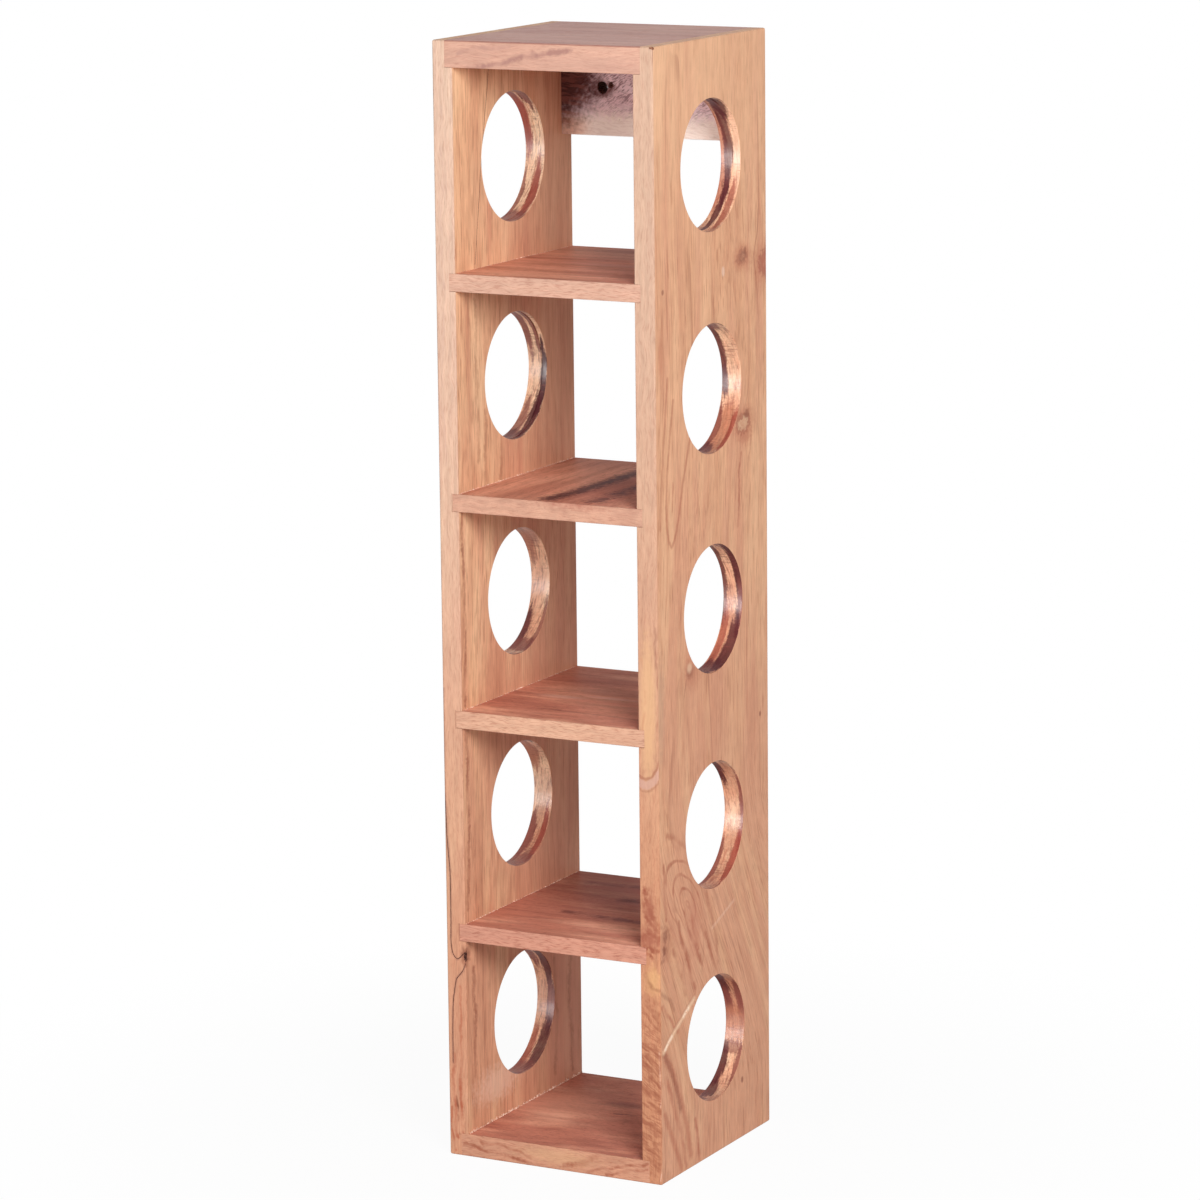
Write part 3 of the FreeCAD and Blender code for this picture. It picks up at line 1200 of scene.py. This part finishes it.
right_front_marks = [
    *right_swells,
    right_corner,
    Line(FRONT.path((OUTER_X, 698), (OUTER_X, 655)), 0.7, KNOT_BROWN, 0.4),
    # A pale line down the rounded corner at the foot: a painted highlight
    Line(FRONT.path((OUTER_X, 84), (OUTER_X, 2)), 0.8, DUST_AND_GLINT, 0.45),
    # A long pale lens, closed by a pink crescent
    StainOrPaintedLight(FRONT.spot(68, 300), (5.0, 4, 42), (0.68, 0.40, 0.21), 0.60, 0.5),
    Line(FRONT.path((73.6, 350), (74.6, 300), (75, 272)), 1.3, KNOT_BROWN, 0.35),
    Line(FRONT.path((64.5, 330), (66, 300), (65, 282)), 1.0, KNOT_RED, 0.35),
    Lip(*LENS, 1.10, 1.40, (0.54, 0.32, 0.27), 0.55),
    Lip(*LENS, 0.98, 1.09, (0.28, 0.090, 0.055), 0.50),
    Lip(*LENS, 1.42, 1.50, KNOT_BROWN, 0.30),
    # A red flame, a fuzzy knot with a whorl under it, a yellow patch and a dark line round the corner
    StainOrPaintedLight(FRONT.spot(67, 156), (10.0, 4, 6.0), (0.330, 0.100, 0.062), 0.75, 0.9, 2.0),
    StainOrPaintedLight(FRONT.spot(68.5, 173), (3.0, 4, 11.0), (0.320, 0.095, 0.060), 0.65, 0.9, 1.6),
    Line(
        FRONT.path((65, 186), (65.5, 182), (67.8, 176.5), (70.9, 169.6), (75, 162.8)),
        2.6, FLAME, 0.90, 1.8,
    ),
    Line(FRONT.path((64, 180), (66.2, 171.5), (69.3, 164.7), (73.9, 160)), 2.2, FLAME, 0.80, 1.8),
    Line(FRONT.path((62, 156), (66, 158.5), (70, 158.6), (75.5, 155)), 2.8, FLAME, 0.90, 1.8),
    Line(FRONT.path((75.5, 150), (71, 148), (66, 151), (62, 149)), 2.0, FLAME, 0.65, 1.8),
    Line(FRONT.path((68, 146), (72, 142.5), (73, 138.5), (70, 136.5)), 1.8, FLAME, 0.90, 1.4),
    StainOrPaintedLight(FRONT.spot(70, 130), (5.0, 4, 8.0), HONEY, 0.55, 0.8, 1.8),
    Line(FRONT.path((62, 150), (65, 147), (66.5, 141), (65, 134)), 1.6, KNOT_RED, 0.60, 1.4),
    Line(FRONT.path((65.2, 133), (66.6, 128), (69.6, 124.6), (75.9, 122.8)), 2.0, KNOT_BROWN, 0.50),
    # Curly grain at the foot
    Ripples(FRONT.spot(68, 62), (14, 0.9, 62), (0.270, 0.075, 0.040), 0.50, 0.75, 20, 4.5),
    Ripples(FRONT.spot(68, 56), (12, 0.9, 56), (0.260, 0.070, 0.040), 0.45, 0.60, 6, 1.4),
]

# The long crack down the left front edge, turning in to a bark pocket by the lowest shelf
CRACK_UPPER = FRONT.path(
    (-75.3, 254), (-74.8, 236.7), (-74.0, 222.7), (-73.6, 207), (-72.7, 195.7), (-71.6, 184),
    (-71.6, 171.5), (-71.6, 151), (-72.0, 137.8), (-70.8, 130.8), (-67.7, 127.3), (-65.4, 128.9),
    (-63.0, 131.7), (-61.3, 133.2),
)
CRACK_LOWER = FRONT.path(
    (-61.3, 126.4), (-63.2, 120.5), (-68.4, 115.3), (-69.2, 110.6), (-70.8, 102.2), (-71.2, 94),
    (-71.7, 79), (-71.6, 60),
)
BARK_POCKET = FRONT.spot(-61.7, 130)
PAST_SHELF = 0.45


def housing_line(shelf, strength):
    """The dark line on the left front edge, just past a shelf's end."""
    low, high = corners(shelf)
    x = low.x - PAST_SHELF
    return Line(FRONT.path((x, low.z), (x, high.z)), 0.6, KNOT_BROWN, strength, strays=False)


left_marks = [
    # Darker and redder towards the back of the inner face: painted shade
    StainOrPaintedLight(INNER_LEFT.spot(80, 350), (8, 90, 600), (0.640, 0.265, 0.180), 0.50, 0.6, 0.3),
    # The front edge, paler and whiter at the top than at the foot: painted sheen and light from above
    SandedAndSheenedFront((0.615, 0.440, 0.350), (0.540, 0.258, 0.158)),
    StainOrPaintedLight(FRONT.spot(-OUTER_X, 165), (3.4, 4, 105), (0.60, 0.33, 0.21), 0.40),
    Line(FRONT.path((-69.6, 660), (-70.6, 440)), 0.9, (0.46, 0.28, 0.24), 0.30),
    # Dark halos along the crack and the pocket, red grain below them, and the shelves' ends
    Line(
        [*FRONT.path((-74.6, 300), (-75.0, 254)), *CRACK_UPPER[1:6]],
        1.6, CRACK_HALO, 0.55, strays=False,
    ),
    Line(CRACK_UPPER[5:], 1.3, CRACK_HALO, 0.45, strays=False),
    Line(CRACK_LOWER, 1.2, CRACK_HALO, 0.50, strays=False),
    StainOrPaintedLight(FRONT.spot(-62, 130), (2.6, 5, 5.5), KNOT_BROWN, 0.60, 0.6, 1.6),
    Line(FRONT.path((-71.6, 66), (-71, 40), (-69, 12)), 1.8, KNOT_RED, 0.80, 1.4),
    Line(FRONT.path((-66.0, 110), (-66.6, 80), (-66, 50)), 1.4, KNOT_RED, 0.55, 1.4),
    Line(FRONT.path((-66.0, 50), (-65.6, 30), (-64, 12)), 1.8, KNOT_RED, 0.85, 1.4),
    Line(FRONT.path((-69.5, 38), (-68.0, 24), (-66.5, 14)), 1.2, KNOT_BROWN, 0.70, 1.4),
    Line(FRONT.path((-73.5, 30), (-73, 16), (-71.6, 4)), 1.4, KNOT_RED, 0.75, 1.4),
    housing_line("shelf_1", 0.50),
    housing_line("shelf_2", 0.35),
    housing_line("shelf_3", 0.35),
    # A pale foot at the back, a scuffed patch and streaks down the inner face
    StainOrPaintedLight(INNER_LEFT.spot(70, 70), (4, 34, 80), (0.920, 0.470, 0.330), 0.40, 0.7, 0.4),
    StainOrPaintedLight(INNER_LEFT.spot(-38, 38), (4, 24, 10), (0.880, 0.620, 0.480), 0.50, 0.7, 1.8),
    Line(INNER_LEFT.path((-72, 410), (-70, 330), (-72, 290)), 2.4, GRAIN_STREAK, 0.65, 1.6),
    Line(INNER_LEFT.path((-71, 275), (-69, 215), (-72, 160)), 2.4, GRAIN_STREAK, 0.65, 1.6),
    Line(INNER_LEFT.path((-66, 120), (-64, 84), (-66, 50)), 2.4, GRAIN_STREAK, 0.65, 1.8),
    Line(INNER_LEFT.path((-52, 540), (-50, 440)), 2.4, GRAIN_STREAK, 0.35, 1.6),
    Line(INNER_LEFT.path((-40, 470), (-42, 424)), 2.4, GRAIN_STREAK, 0.45, 1.6),
    Line(INNER_LEFT.path((40, 100), (42, 60), (38, 24)), 2.8, GRAIN_STREAK, 0.40, 1.8),
    Line(INNER_LEFT.path((62, 110), (60, 60), (63, 20)), 3.0, GRAIN_STREAK, 0.40, 1.8),
    Line(INNER_LEFT.path((-20, 436), (-22, 424)), 3.0, GRAIN_STREAK, 0.50),
]

# Scorched bands on the hole walls
right_burns = [
    Burn(4, 11.0, 5, 4.0, 40, PALE_WALL, 0.60),
    Burn(4, 1.7, 20, 2.6, 75, RUST, 0.65),
    Burn(4, 5.4, 30, 2.8, 70, PLUM, 0.85),
    Burn(4, 7.5, 62, 4.0, 24, PLUM, 0.85),
    Burn(4, 5.2, -52, 1.9, 42, PLUM, 0.90),
    Burn(4, 10.3, -48, 1.9, 32, RUST, 0.75),
    Burn(3, 6.0, -55, 6.0, 34, CINNAMON, 0.80),
    Burn(3, 1.6, 35, 2.6, 48, PLUM, 0.90),
    Burn(3, 4.0, 78, 5.0, 20, UMBER, 0.80),
    Burn(3, 2.0, 0, 2.5, 14, PLUM, 0.70),
    Burn(3, 1.5, -60, 2.4, 34, UMBER, 0.80),
    Burn(3, 12.3, -52, 1.8, 26, RUST, 0.85),
    Burn(3, 3.5, -80, 5.0, 14, PLUM, 0.80),
    Burn(2, 6.0, -46, 9.0, 30, CINNAMON, 0.55),
    Burn(2, 1.0, 40, 2.2, 55, PLUM, 0.85),
    Burn(2, 12.0, 38, 2.8, 48, PLUM, 0.95),
    Burn(2, 12.2, -12, 2.2, 24, UMBER, 0.85),
    Burn(2, 10.3, -52, 3.8, 36, PLUM, 0.90),
    Burn(2, 3.0, -45, 2.2, 40, RUST, 0.70),
    Burn(2, 6.0, -80, 7.0, 14, PLUM, 0.80),
    Burn(2, 6.0, 80, 7.0, 14, UMBER, 0.80),
    Burn(1, 6.0, 34, 9.0, 22, CINNAMON, 0.45),
    Burn(1, 6.0, -44, 9.0, 28, CINNAMON, 0.55),
    Burn(1, 2.0, 62, 3.0, 34, PLUM, 0.92),
    Burn(1, 9.0, 82, 5.0, 14, UMBER, 0.60),
    Burn(1, 12.8, 0, 1.7, 40, UMBER, 0.85),
    Burn(1, 11.8, -46, 2.4, 30, RUST, 0.85),
    Burn(1, 1.2, -58, 2.2, 32, UMBER, 0.85),
    Burn(0, 7.0, 34, 7.0, 26, CINNAMON, 0.55),
    Burn(0, 2.6, 55, 4.0, 34, PLUM, 0.92),
    Burn(0, 8.0, 84, 6.0, 12, UMBER, 0.70),
    Burn(0, 2.6, 16, 3.4, 16, UMBER, 0.90),
    Burn(0, 12.0, 22, 3.0, 24, UMBER, 0.90),
    Burn(0, 6.0, -4, 9.0, 16, CINNAMON, 0.70),
    Burn(0, 5.0, -24, 8.0, 6, UMBER, 0.65),
    Burn(0, 1.6, -44, 3.2, 22, PLUM, 0.92),
    Burn(0, 12.4, -40, 1.8, 18, UMBER, 0.80),
    Burn(0, 3.0, -75, 5.0, 14, PLUM, 0.85),
]
left_burns = [
    Burn(4, 11.0, 42, 3.4, 46, RUST, 0.95),
    Burn(4, 3.2, 66, 2.6, 22, UMBER, 0.85),
    Burn(4, 3.8, -42, 2.4, 36, RUST, 0.92),
    Burn(4, 12.0, -50, 1.4, 30, UMBER, 0.80),
    Burn(4, 7.0, -78, 8.0, 14, UMBER, 0.70),
    Burn(3, 10.8, 48, 2.4, 38, UMBER, 0.90),
    Burn(3, 4.6, 48, 1.5, 36, UMBER, 0.85),
    Burn(3, 2.2, -14, 2.0, 40, SOOT, 0.97),
    Burn(3, 3.4, -52, 2.6, 30, PLUM, 0.92),
    Burn(3, 10.0, -58, 3.0, 26, UMBER, 0.75),
    Burn(3, 8.0, -80, 8.0, 12, PLUM, 0.70),
    Burn(2, 10.5, 55, 4.5, 34, (0.34, 0.13, 0.085), 0.80),
    Burn(2, 4.0, 62, 3.5, 24, (0.40, 0.18, 0.13), 0.70),
    Burn(2, 11.6, -54, 2.8, 26, PLUM, 0.92),
    Burn(2, 6.0, -72, 7.0, 12, UMBER, 0.85),
    Burn(2, 1.2, -48, 1.3, 30, UMBER, 0.75),
    Burn(1, 6.0, -46, 9.0, 28, CINNAMON, 0.45),
    Burn(1, 9.8, 48, 4.2, 26, (0.36, 0.12, 0.07), 0.85),
    Burn(1, 6.0, 80, 8.0, 14, UMBER, 0.75),
    Burn(1, 11.2, -50, 3.0, 28, UMBER, 0.90),
    Burn(1, 2.6, -46, 1.8, 32, RUST, 0.90),
    Burn(1, 7.0, -80, 8.0, 12, UMBER, 0.75),
    Burn(0, 10.0, 58, 2.6, 26, UMBER, 0.90),
    Burn(0, 3.0, 40, 2.8, 34, PLUM, 0.90),
    Burn(0, 2.8, -10, 3.0, 22, UMBER, 0.85),
    Burn(0, 3.6, -50, 3.6, 32, PLUM, 0.85),
    Burn(0, 11.0, -56, 2.4, 26, RUST, 0.75),
    Burn(0, 8.0, -80, 8.0, 12, UMBER, 0.75),
]


# Marks on the level boards and the rail

# Level: a board's log, the tone of its front edge, how much the pores show there, and its marks
Level = namedtuple("Level", "log front pores marks")
LEVEL_PORES = (7.0, 0.7)

levels = {
    "bottom_panel": Level(Log("x", 1.9, (-30, 48), (0.06, 0.22), 9.0), (0.555, 0.300, 0.193), 0.85, [
        StainOrPaintedLight(BOTTOM.spot(-40, 4), (30, 34, 4), (0.860, 0.460, 0.320), 0.35, 0.8, 1.2),
        # Darker towards the back: painted shade
        StainOrPaintedLight(BOTTOM.spot(10, 70), (70, 40, 4), UMBER, 0.18, 0.7, 0.4),
        StainOrPaintedLight(BOTTOM.spot(-2, 23), (14, 5, 4), PLUM, 0.50, 0.7),
        Line(BOTTOM.path((0, 4), (18, 7), (34, 13)), 1.4, PLUM, 0.65),
        StainOrPaintedLight(FRONT.spot(2, 8.5), (24, 4, 4.5), (0.62, 0.37, 0.21), 0.45, 0.6, 1.6),
        Line(FRONT.path((-64, 8.3), (-48.6, 6.5), (-32.8, 3.8), (-17, 2)), 1.8, WAVE_BROWN, 0.75, 1.6),
        Line(FRONT.path((-52, 11), (-39.7, 11), (-27.5, 9), (-17, 5.5)), 1.5, WAVE_BROWN, 0.70, 1.6),
        Line(FRONT.path((8, 2.5), (13, 3.6), (20, 6.7), (29.6, 12.4)), 2.6, WAVE_BROWN, 0.75, 1.6),
        Line(FRONT.path((22.6, 1.7), (38, 6), (53.5, 10.7), (64.6, 13.8)), 1.6, WAVE_BROWN, 0.75, 1.4),
        Line(FRONT.path((36, 1.1), (50, 5.5), (63.7, 10)), 1.5, WAVE_BROWN, 0.70, 1.4),
    ]),
    "shelf_1": Level(Log("x", 6.2, (20, 200), (0.05, 0.10), 8.0), (0.575, 0.292, 0.208), 1.10, [
        # Darker towards the back: painted shade
        StainOrPaintedLight(SHELF_1.spot(10, 60), (80, 70, 4), UMBER, 0.70, 0.7, 0.4),
        Line(SHELF_1.path((0, 20), (62, 30)), 7.0, PLUM, 0.60),
        Line(SHELF_1.path((-20, -20), (62, -26)), 5.0, PLUM, 0.55),
        Line(SHELF_1.path((-40, 52), (62, 58)), 6.0, PLUM, 0.50),
    ]),
    "shelf_2": Level(Log("x", 9.8, (-10, 322), (0.03, 0.14), 8.0), (0.620, 0.384, 0.262), 1.00, [
        # Two pale patches across the middle: painted glints
        StainOrPaintedLight(SHELF_2.spot(-26, -12), (14, 4, 4), DUST_AND_GLINT, 0.32, 0.7),
        StainOrPaintedLight(SHELF_2.spot(6, -4), (16, 3, 4), DUST_AND_GLINT, 0.32, 0.7),
        Line(SHELF_2.path((-20, -46), (55, -52)), 2.5, PLUM, 0.35),
        # Darker towards the back: painted shade
        StainOrPaintedLight(SHELF_2.spot(20, 62), (70, 40, 4), (0.20, 0.055, 0.045), 0.40, 0.7, 0.4),
    ]),
    "shelf_3": Level(Log("y", 14.4, (30, 470), (0.03, 0.05), 9.0), (0.530, 0.316, 0.226), 0.60, [
        StainOrPaintedLight(SHELF_3.spot(18, -10), (24, 80, 4), RUST, 0.55, 0.6, 1.2),
        Line(SHELF_3.path((-4, -66), (0, -38), (1, 0), (2, 76)), 9.0, SOOT, 0.88, 1.6, strays=False),
        Line(SHELF_3.path((26, -60), (30, -10), (26, 60)), 9.0, SOOT, 0.65, 2.4),
        # Darker towards the back: painted shade
        StainOrPaintedLight(SHELF_3.spot(0, 76), (70, 30, 4), UMBER, 0.50, 0.7, 0.4),
    ]),
    "shelf_4": Level(Log("x", 17.7, (10, 600), (0.02, 0.10), 9.0), (0.585, 0.382, 0.287), 0.95, [
        # Dark towards the back right, beside the right side: painted shade
        StainOrPaintedLight(SHELF_4.spot(20, 62), (56, 34, 5), (0.17, 0.050, 0.040), 0.60, 0.6, 0.4),
        StainOrPaintedLight(SHELF_4.spot(16, -2), (34, 6, 4), (0.68, 0.40, 0.32), 0.30, 0.7),
        StainOrPaintedLight(SHELF_4.spot(26, -42), (30, 10, 4), RUST, 0.40, 0.7),
    ]),
    "top_panel": Level(Log("x", 21.0, (-20, 640), (0.05, 0.18), 9.0), (0.490, 0.295, 0.220), 0.60, [
        StainOrPaintedLight(TOP.spot(0, 0), (200, 200, 0.8), (0.270, 0.085, 0.074), 0.55, 0.4, 0.2),
        StainOrPaintedLight(TOP.spot(10, -40), (60, 26, 0.8), (0.600, 0.300, 0.240), 0.30, 0.7, 1.4),
        StainOrPaintedLight(FRONT.spot(30, 687), (34, 4, 6.0), (0.420, 0.230, 0.180), 0.30, 0.6, 1.4),
        Line(
            FRONT.path((-50, 683.6), (-39.5, 684.8), (-22.9, 688.5), (-12, 691.7), (0.8, 694), (18.9, 696.4)),
            2.8, (0.340, 0.165, 0.130), 0.90, 1.2,
        ),
        Line(FRONT.path((-57.7, 691.9), (-40, 696), (-20.9, 698)), 1.8, (0.40, 0.21, 0.165), 0.65),
    ]),
}

RAIL_LOG = Log("x", 25.5, (60, 610), (0.02, -0.30), 5.0)
rail_marks = [
    # A near-white strip along the foot: partly the rail's pale strip, partly painted light
    StainOrPaintedLight(RAIL.spot(0, 630), (90, 20, 15), (1.000, 0.880, 0.790), 1.00, 0.4, 0.8),
    StainOrPaintedLight(RAIL.spot(-58, 634), (14, 20, 9), (0.760, 0.450, 0.330), 0.70, 0.5, 0.8),
    Ripples(RAIL.spot(10, 676), (90, 20, 34), (0.230, 0.105, 0.115), 0.72, -0.60, 4.0, 1.0),
    Ripples(RAIL.spot(10, 634), (90, 20, 10), (0.420, 0.220, 0.150), 0.14, 0.15, 7.0, 1.1),
    # Near black at the upper left: partly the wood's dark patch, partly painted shade of the left side and
    # the top panel
    StainOrPaintedLight(RAIL.spot(-66, 668), (30, 20, 30), (0.070, 0.013, 0.009), 0.95, 0.4, 0.7),
    Ripples(RAIL.spot(-60, 660), (18, 20, 28), (0.340, 0.140, 0.115), 0.45, 0.05, 18, 1.8),
    # Dark along the top: painted shadow of the top panel
    StainOrPaintedLight(RAIL.spot(0, 690), (90, 20, 14), (0.160, 0.060, 0.055), 0.60, 0.7, 0.8),
    *[StainOrPaintedLight(RAIL.spot(x, 660), (9.5, 3, 5.6), SCREW_GRIME, 0.75, 0.4, 1.0) for x in (-33, 33)],
]


# Finishes of this rack

split = broken_wood("dark_split", (0.025, 0.009, 0.008), (0.180, 0.075, 0.056))
chipped = broken_wood("chipped_wood", (0.130, 0.050, 0.034), (0.420, 0.200, 0.120))
fibres = torn_fibre("torn_fibre")
pegs = peg_wood("dowel_pegs")

right_wood = wood("right_side_wood", RIGHT_LOG, RIGHT_TONES, SANDED, right_face_marks)
right_front_wood = wood("right_front_wood", RIGHT_LOG, RIGHT_TONES, SANDED, right_front_marks)
left_wood = wood("left_side_wood", LEFT_LOG, LEFT_TONES, STREAKY, left_marks)
right_bore = wood("right_bore_wood", RIGHT_LOG, BORED_TONES, BORED, [BoredWalls(right_burns)])
left_bore = wood("left_bore_wood", LEFT_LOG, BORED_TONES, BORED, [BoredWalls(left_burns)])
level_woods = {}
for board_name, level in levels.items():
    surface = WAXED if board_name == "top_panel" else RUBBED
    front = SandedAndSheenedFront(level.front, None, LEVEL_PORES, level.pores)
    marks = [front, *level.marks]
    level_woods[board_name] = wood(board_name + "_wood", level.log, LEVEL_TONES, surface, marks)
rail_wood = wood("hanging_rail_wood", RAIL_LOG, RAIL_TONES, SAWN, rail_marks)


# The rack

PLAIN = [(THROUGH, 0.0)]
STEPPED_AT_5 = [(5.4, 0.5), (THROUGH, 0.0)]
STEPPED_AT_7 = [(7.4, 0.0), (THROUGH, 0.35)]
STEPPED_AT_8 = [(8.2, 0.45), (THROUGH, 0.0)]
GROOVED_AT_10 = [(9.6, 0.0), (10.6, 0.5), (THROUGH, 0.0)]

left_holes = [STEPPED_AT_8, PLAIN, PLAIN, GROOVED_AT_10, STEPPED_AT_7]
right_holes = [PLAIN, PLAIN, PLAIN, PLAIN, STEPPED_AT_5]
left_side = side_board("left_side", -1, left_wood, left_bore, left_holes)
right_side = side_board("right_side", 1, right_wood, right_bore, right_holes)

# The long crack and the bark pocket, and a hairline crack on the left's inner face in the top bay
CRACK_RADIUS = 0.28
CRACK_TIP = 0.16
for crack in (CRACK_UPPER, CRACK_LOWER):
    radii = [CRACK_TIP, *[CRACK_RADIUS] * (len(crack) - 2), CRACK_TIP]
    cut(left_side, groove_cutter(crack, radii, split, smooth=True))
cut(left_side, lump_cutter(BARK_POCKET, (0.9, 1.8, 3.4), 5, split, 0.35))
hairline = INNER_LEFT.path((-29.6, 682), (-39.8, 630.3), (-50.7, 561))
cut(left_side, groove_cutter(hairline, [0.2, 0.3, 0.2], split))

# A chipped corner and the bruises on the right, the longer one with two nicks
CHIP = (OUTER_X + 0.2, FRONT_Y - 0.2, TOP_Z - 0.2)
BRUISE_LINE = Face(X, OUTER_X + 0.5)
BRUISE_RADIUS = 0.75
cut(right_side, lump_cutter(CHIP, (2.8, 2.2, 1.8), 2, chipped))
for bruise in (SCAR, FAINT_SCAR):
    radii = [BRUISE_RADIUS] * len(bruise)
    cut(right_side, groove_cutter(BRUISE_LINE.path(*bruise), radii, right_wood))
for nick in RIGHT.path(*SCAR[1:3]):
    cut(right_side, lump_cutter(nick, (0.5, 1.4, 1.2), 3, right_wood, 0.3))

face_front(right_side, right_front_wood)
finish_piece(left_side, "left_side")
finish_piece(right_side, "right_side")

for board_name in LEVEL_BOARDS:
    top_easing = OUTER_EASING if board_name == "top_panel" else ARRIS_EASING
    under_easing = OUTER_EASING if board_name == "bottom_panel" else ARRIS_EASING
    board = level_board(board_name, level_woods[board_name], top_easing, under_easing)
    finish_piece(board, board_name)

finish_piece(bored_rail("hanging_rail", rail_wood, split), "hanging_rail")

# Fibres torn up along the left's inner joints, tallest at the bottom panel
Fringe = namedtuple("Fringe", "board count tallest")
FRINGES = [
    Fringe("bottom_panel", 190, 2.6),
    Fringe("shelf_1", 120, 1.1),
    Fringe("shelf_2", 110, 1.0),
    Fringe("shelf_3", 150, 1.3),
    Fringe("shelf_4", 90, 0.9),
]
for seed, row in enumerate(FRINGES):
    fringe = torn_fringe(row.board + "_torn_fibres", row.board, row.count, row.tallest, seed, fibres)
    finish_piece(fringe)

for node, item in frame["nodes"].items():
    if node.endswith("_dowels"):
        item.data.materials.clear()
        item.data.materials.append(pegs)


# Floor and light, in metres apart from the fade

WHITE = (1, 1, 1, 1)
FLOOR_SIZE = 40
FLOOR_COLOUR = (0.80, 0.80, 0.80, 1)
FLOOR_GLOW = 0.95
FADE_START = 150
FADE_END = 550
SKY_LIGHT = 0.29


def seen_directly(finish):
    """1 for a ray that shows the background itself, in the picture or in a gloss."""
    path = finish.node("ShaderNodeLightPath", {}, {}).socket.node
    seen = Wire(finish, path.outputs["Is Camera Ray"])
    for name in ("Is Glossy Ray", "Is Transmission Ray"):
        seen = finish.math("MAXIMUM", seen, Wire(finish, path.outputs[name]))
    return seen


def soft_light(name, place, aim, width, height, watts):
    lamp = bpy.data.lights.new(name, "AREA")
    lamp.shape = "RECTANGLE"
    lamp.size = width
    lamp.size_y = height
    lamp.energy = watts
    item = bpy.data.objects.new(name, lamp)
    bpy.context.collection.objects.link(item)
    item.location = place
    item.rotation_mode = "QUATERNION"
    item.rotation_quaternion = (Vector(aim) - Vector(place)).to_track_quat("-Z", "Y")


bpy.ops.object.select_all(action="DESELECT")
bpy.ops.mesh.primitive_plane_add(size=FLOOR_SIZE)
floor = bpy.context.active_object
floor.name = "studio_floor"

# The floor takes the shadow near the rack and fades into the white background further off
floor_finish = Finish(bpy.data.materials.new("studio_floor"))
fade = floor_finish.rise(floor_finish.length(floor_finish.place()), FADE_START, FADE_END)
glow_share = seen_directly(floor_finish) * (FLOOR_GLOW + (1 - FLOOR_GLOW) * fade)
floor_paint = floor_finish.node("ShaderNodeBsdfDiffuse", {}, {"Color": FLOOR_COLOUR})
floor_glow = floor_finish.node("ShaderNodeEmission", {}, {"Color": WHITE, "Strength": 1.0})
floor_skin = floor_finish.node(
    "ShaderNodeMixShader", {}, {0: glow_share, 1: floor_paint, 2: floor_glow}
)
floor_finish.node("ShaderNodeOutputMaterial", {}, {"Surface": floor_skin})
floor.data.materials.append(floor_finish.owner)

world = bpy.data.worlds.new("studio")
bpy.context.scene.world = world
sky = Finish(world)
sky_strength = SKY_LIGHT + (1.0 - SKY_LIGHT) * seen_directly(sky)
sky_paint = sky.node("ShaderNodeBackground", {}, {"Color": WHITE, "Strength": sky_strength})
sky.node("ShaderNodeOutputWorld", {}, {"Surface": sky_paint})

soft_light("key", (1.30, -1.30, 1.20), aim=(0, 0, 0.40), width=0.8, height=0.8, watts=37)
soft_light("left_fill", (-0.62, -1.90, 0.42), aim=(0, 0, 0.42), width=1.0, height=0.76, watts=13)


# Camera

CAMERA_AIM = Vector((-0.0032, -0.0021, 0.3483))
CAMERA_DISTANCE = 3.1143
CAMERA_AZIMUTH = math.radians(27.98)
CAMERA_ELEVATION = math.radians(11.10)
CAMERA_ROLL = math.radians(-0.606)
CAMERA_LENS = 150
CAMERA_SENSOR = 36

camera_data = bpy.data.cameras.new("camera")
camera_data.lens = CAMERA_LENS
camera_data.sensor_width = CAMERA_SENSOR
camera = bpy.data.objects.new("camera", camera_data)
bpy.context.collection.objects.link(camera)
back = Vector((
    math.sin(CAMERA_AZIMUTH) * math.cos(CAMERA_ELEVATION),
    -math.cos(CAMERA_AZIMUTH) * math.cos(CAMERA_ELEVATION),
    math.sin(CAMERA_ELEVATION),
))
camera.location = CAMERA_AIM + back * CAMERA_DISTANCE
camera.rotation_mode = "QUATERNION"
level_turn = (-back).to_track_quat("-Z", "Y")
camera.rotation_quaternion = level_turn @ Quaternion((0, 0, 1), CAMERA_ROLL)
bpy.context.scene.camera = camera
bpy.context.scene.view_settings.view_transform = "Standard"
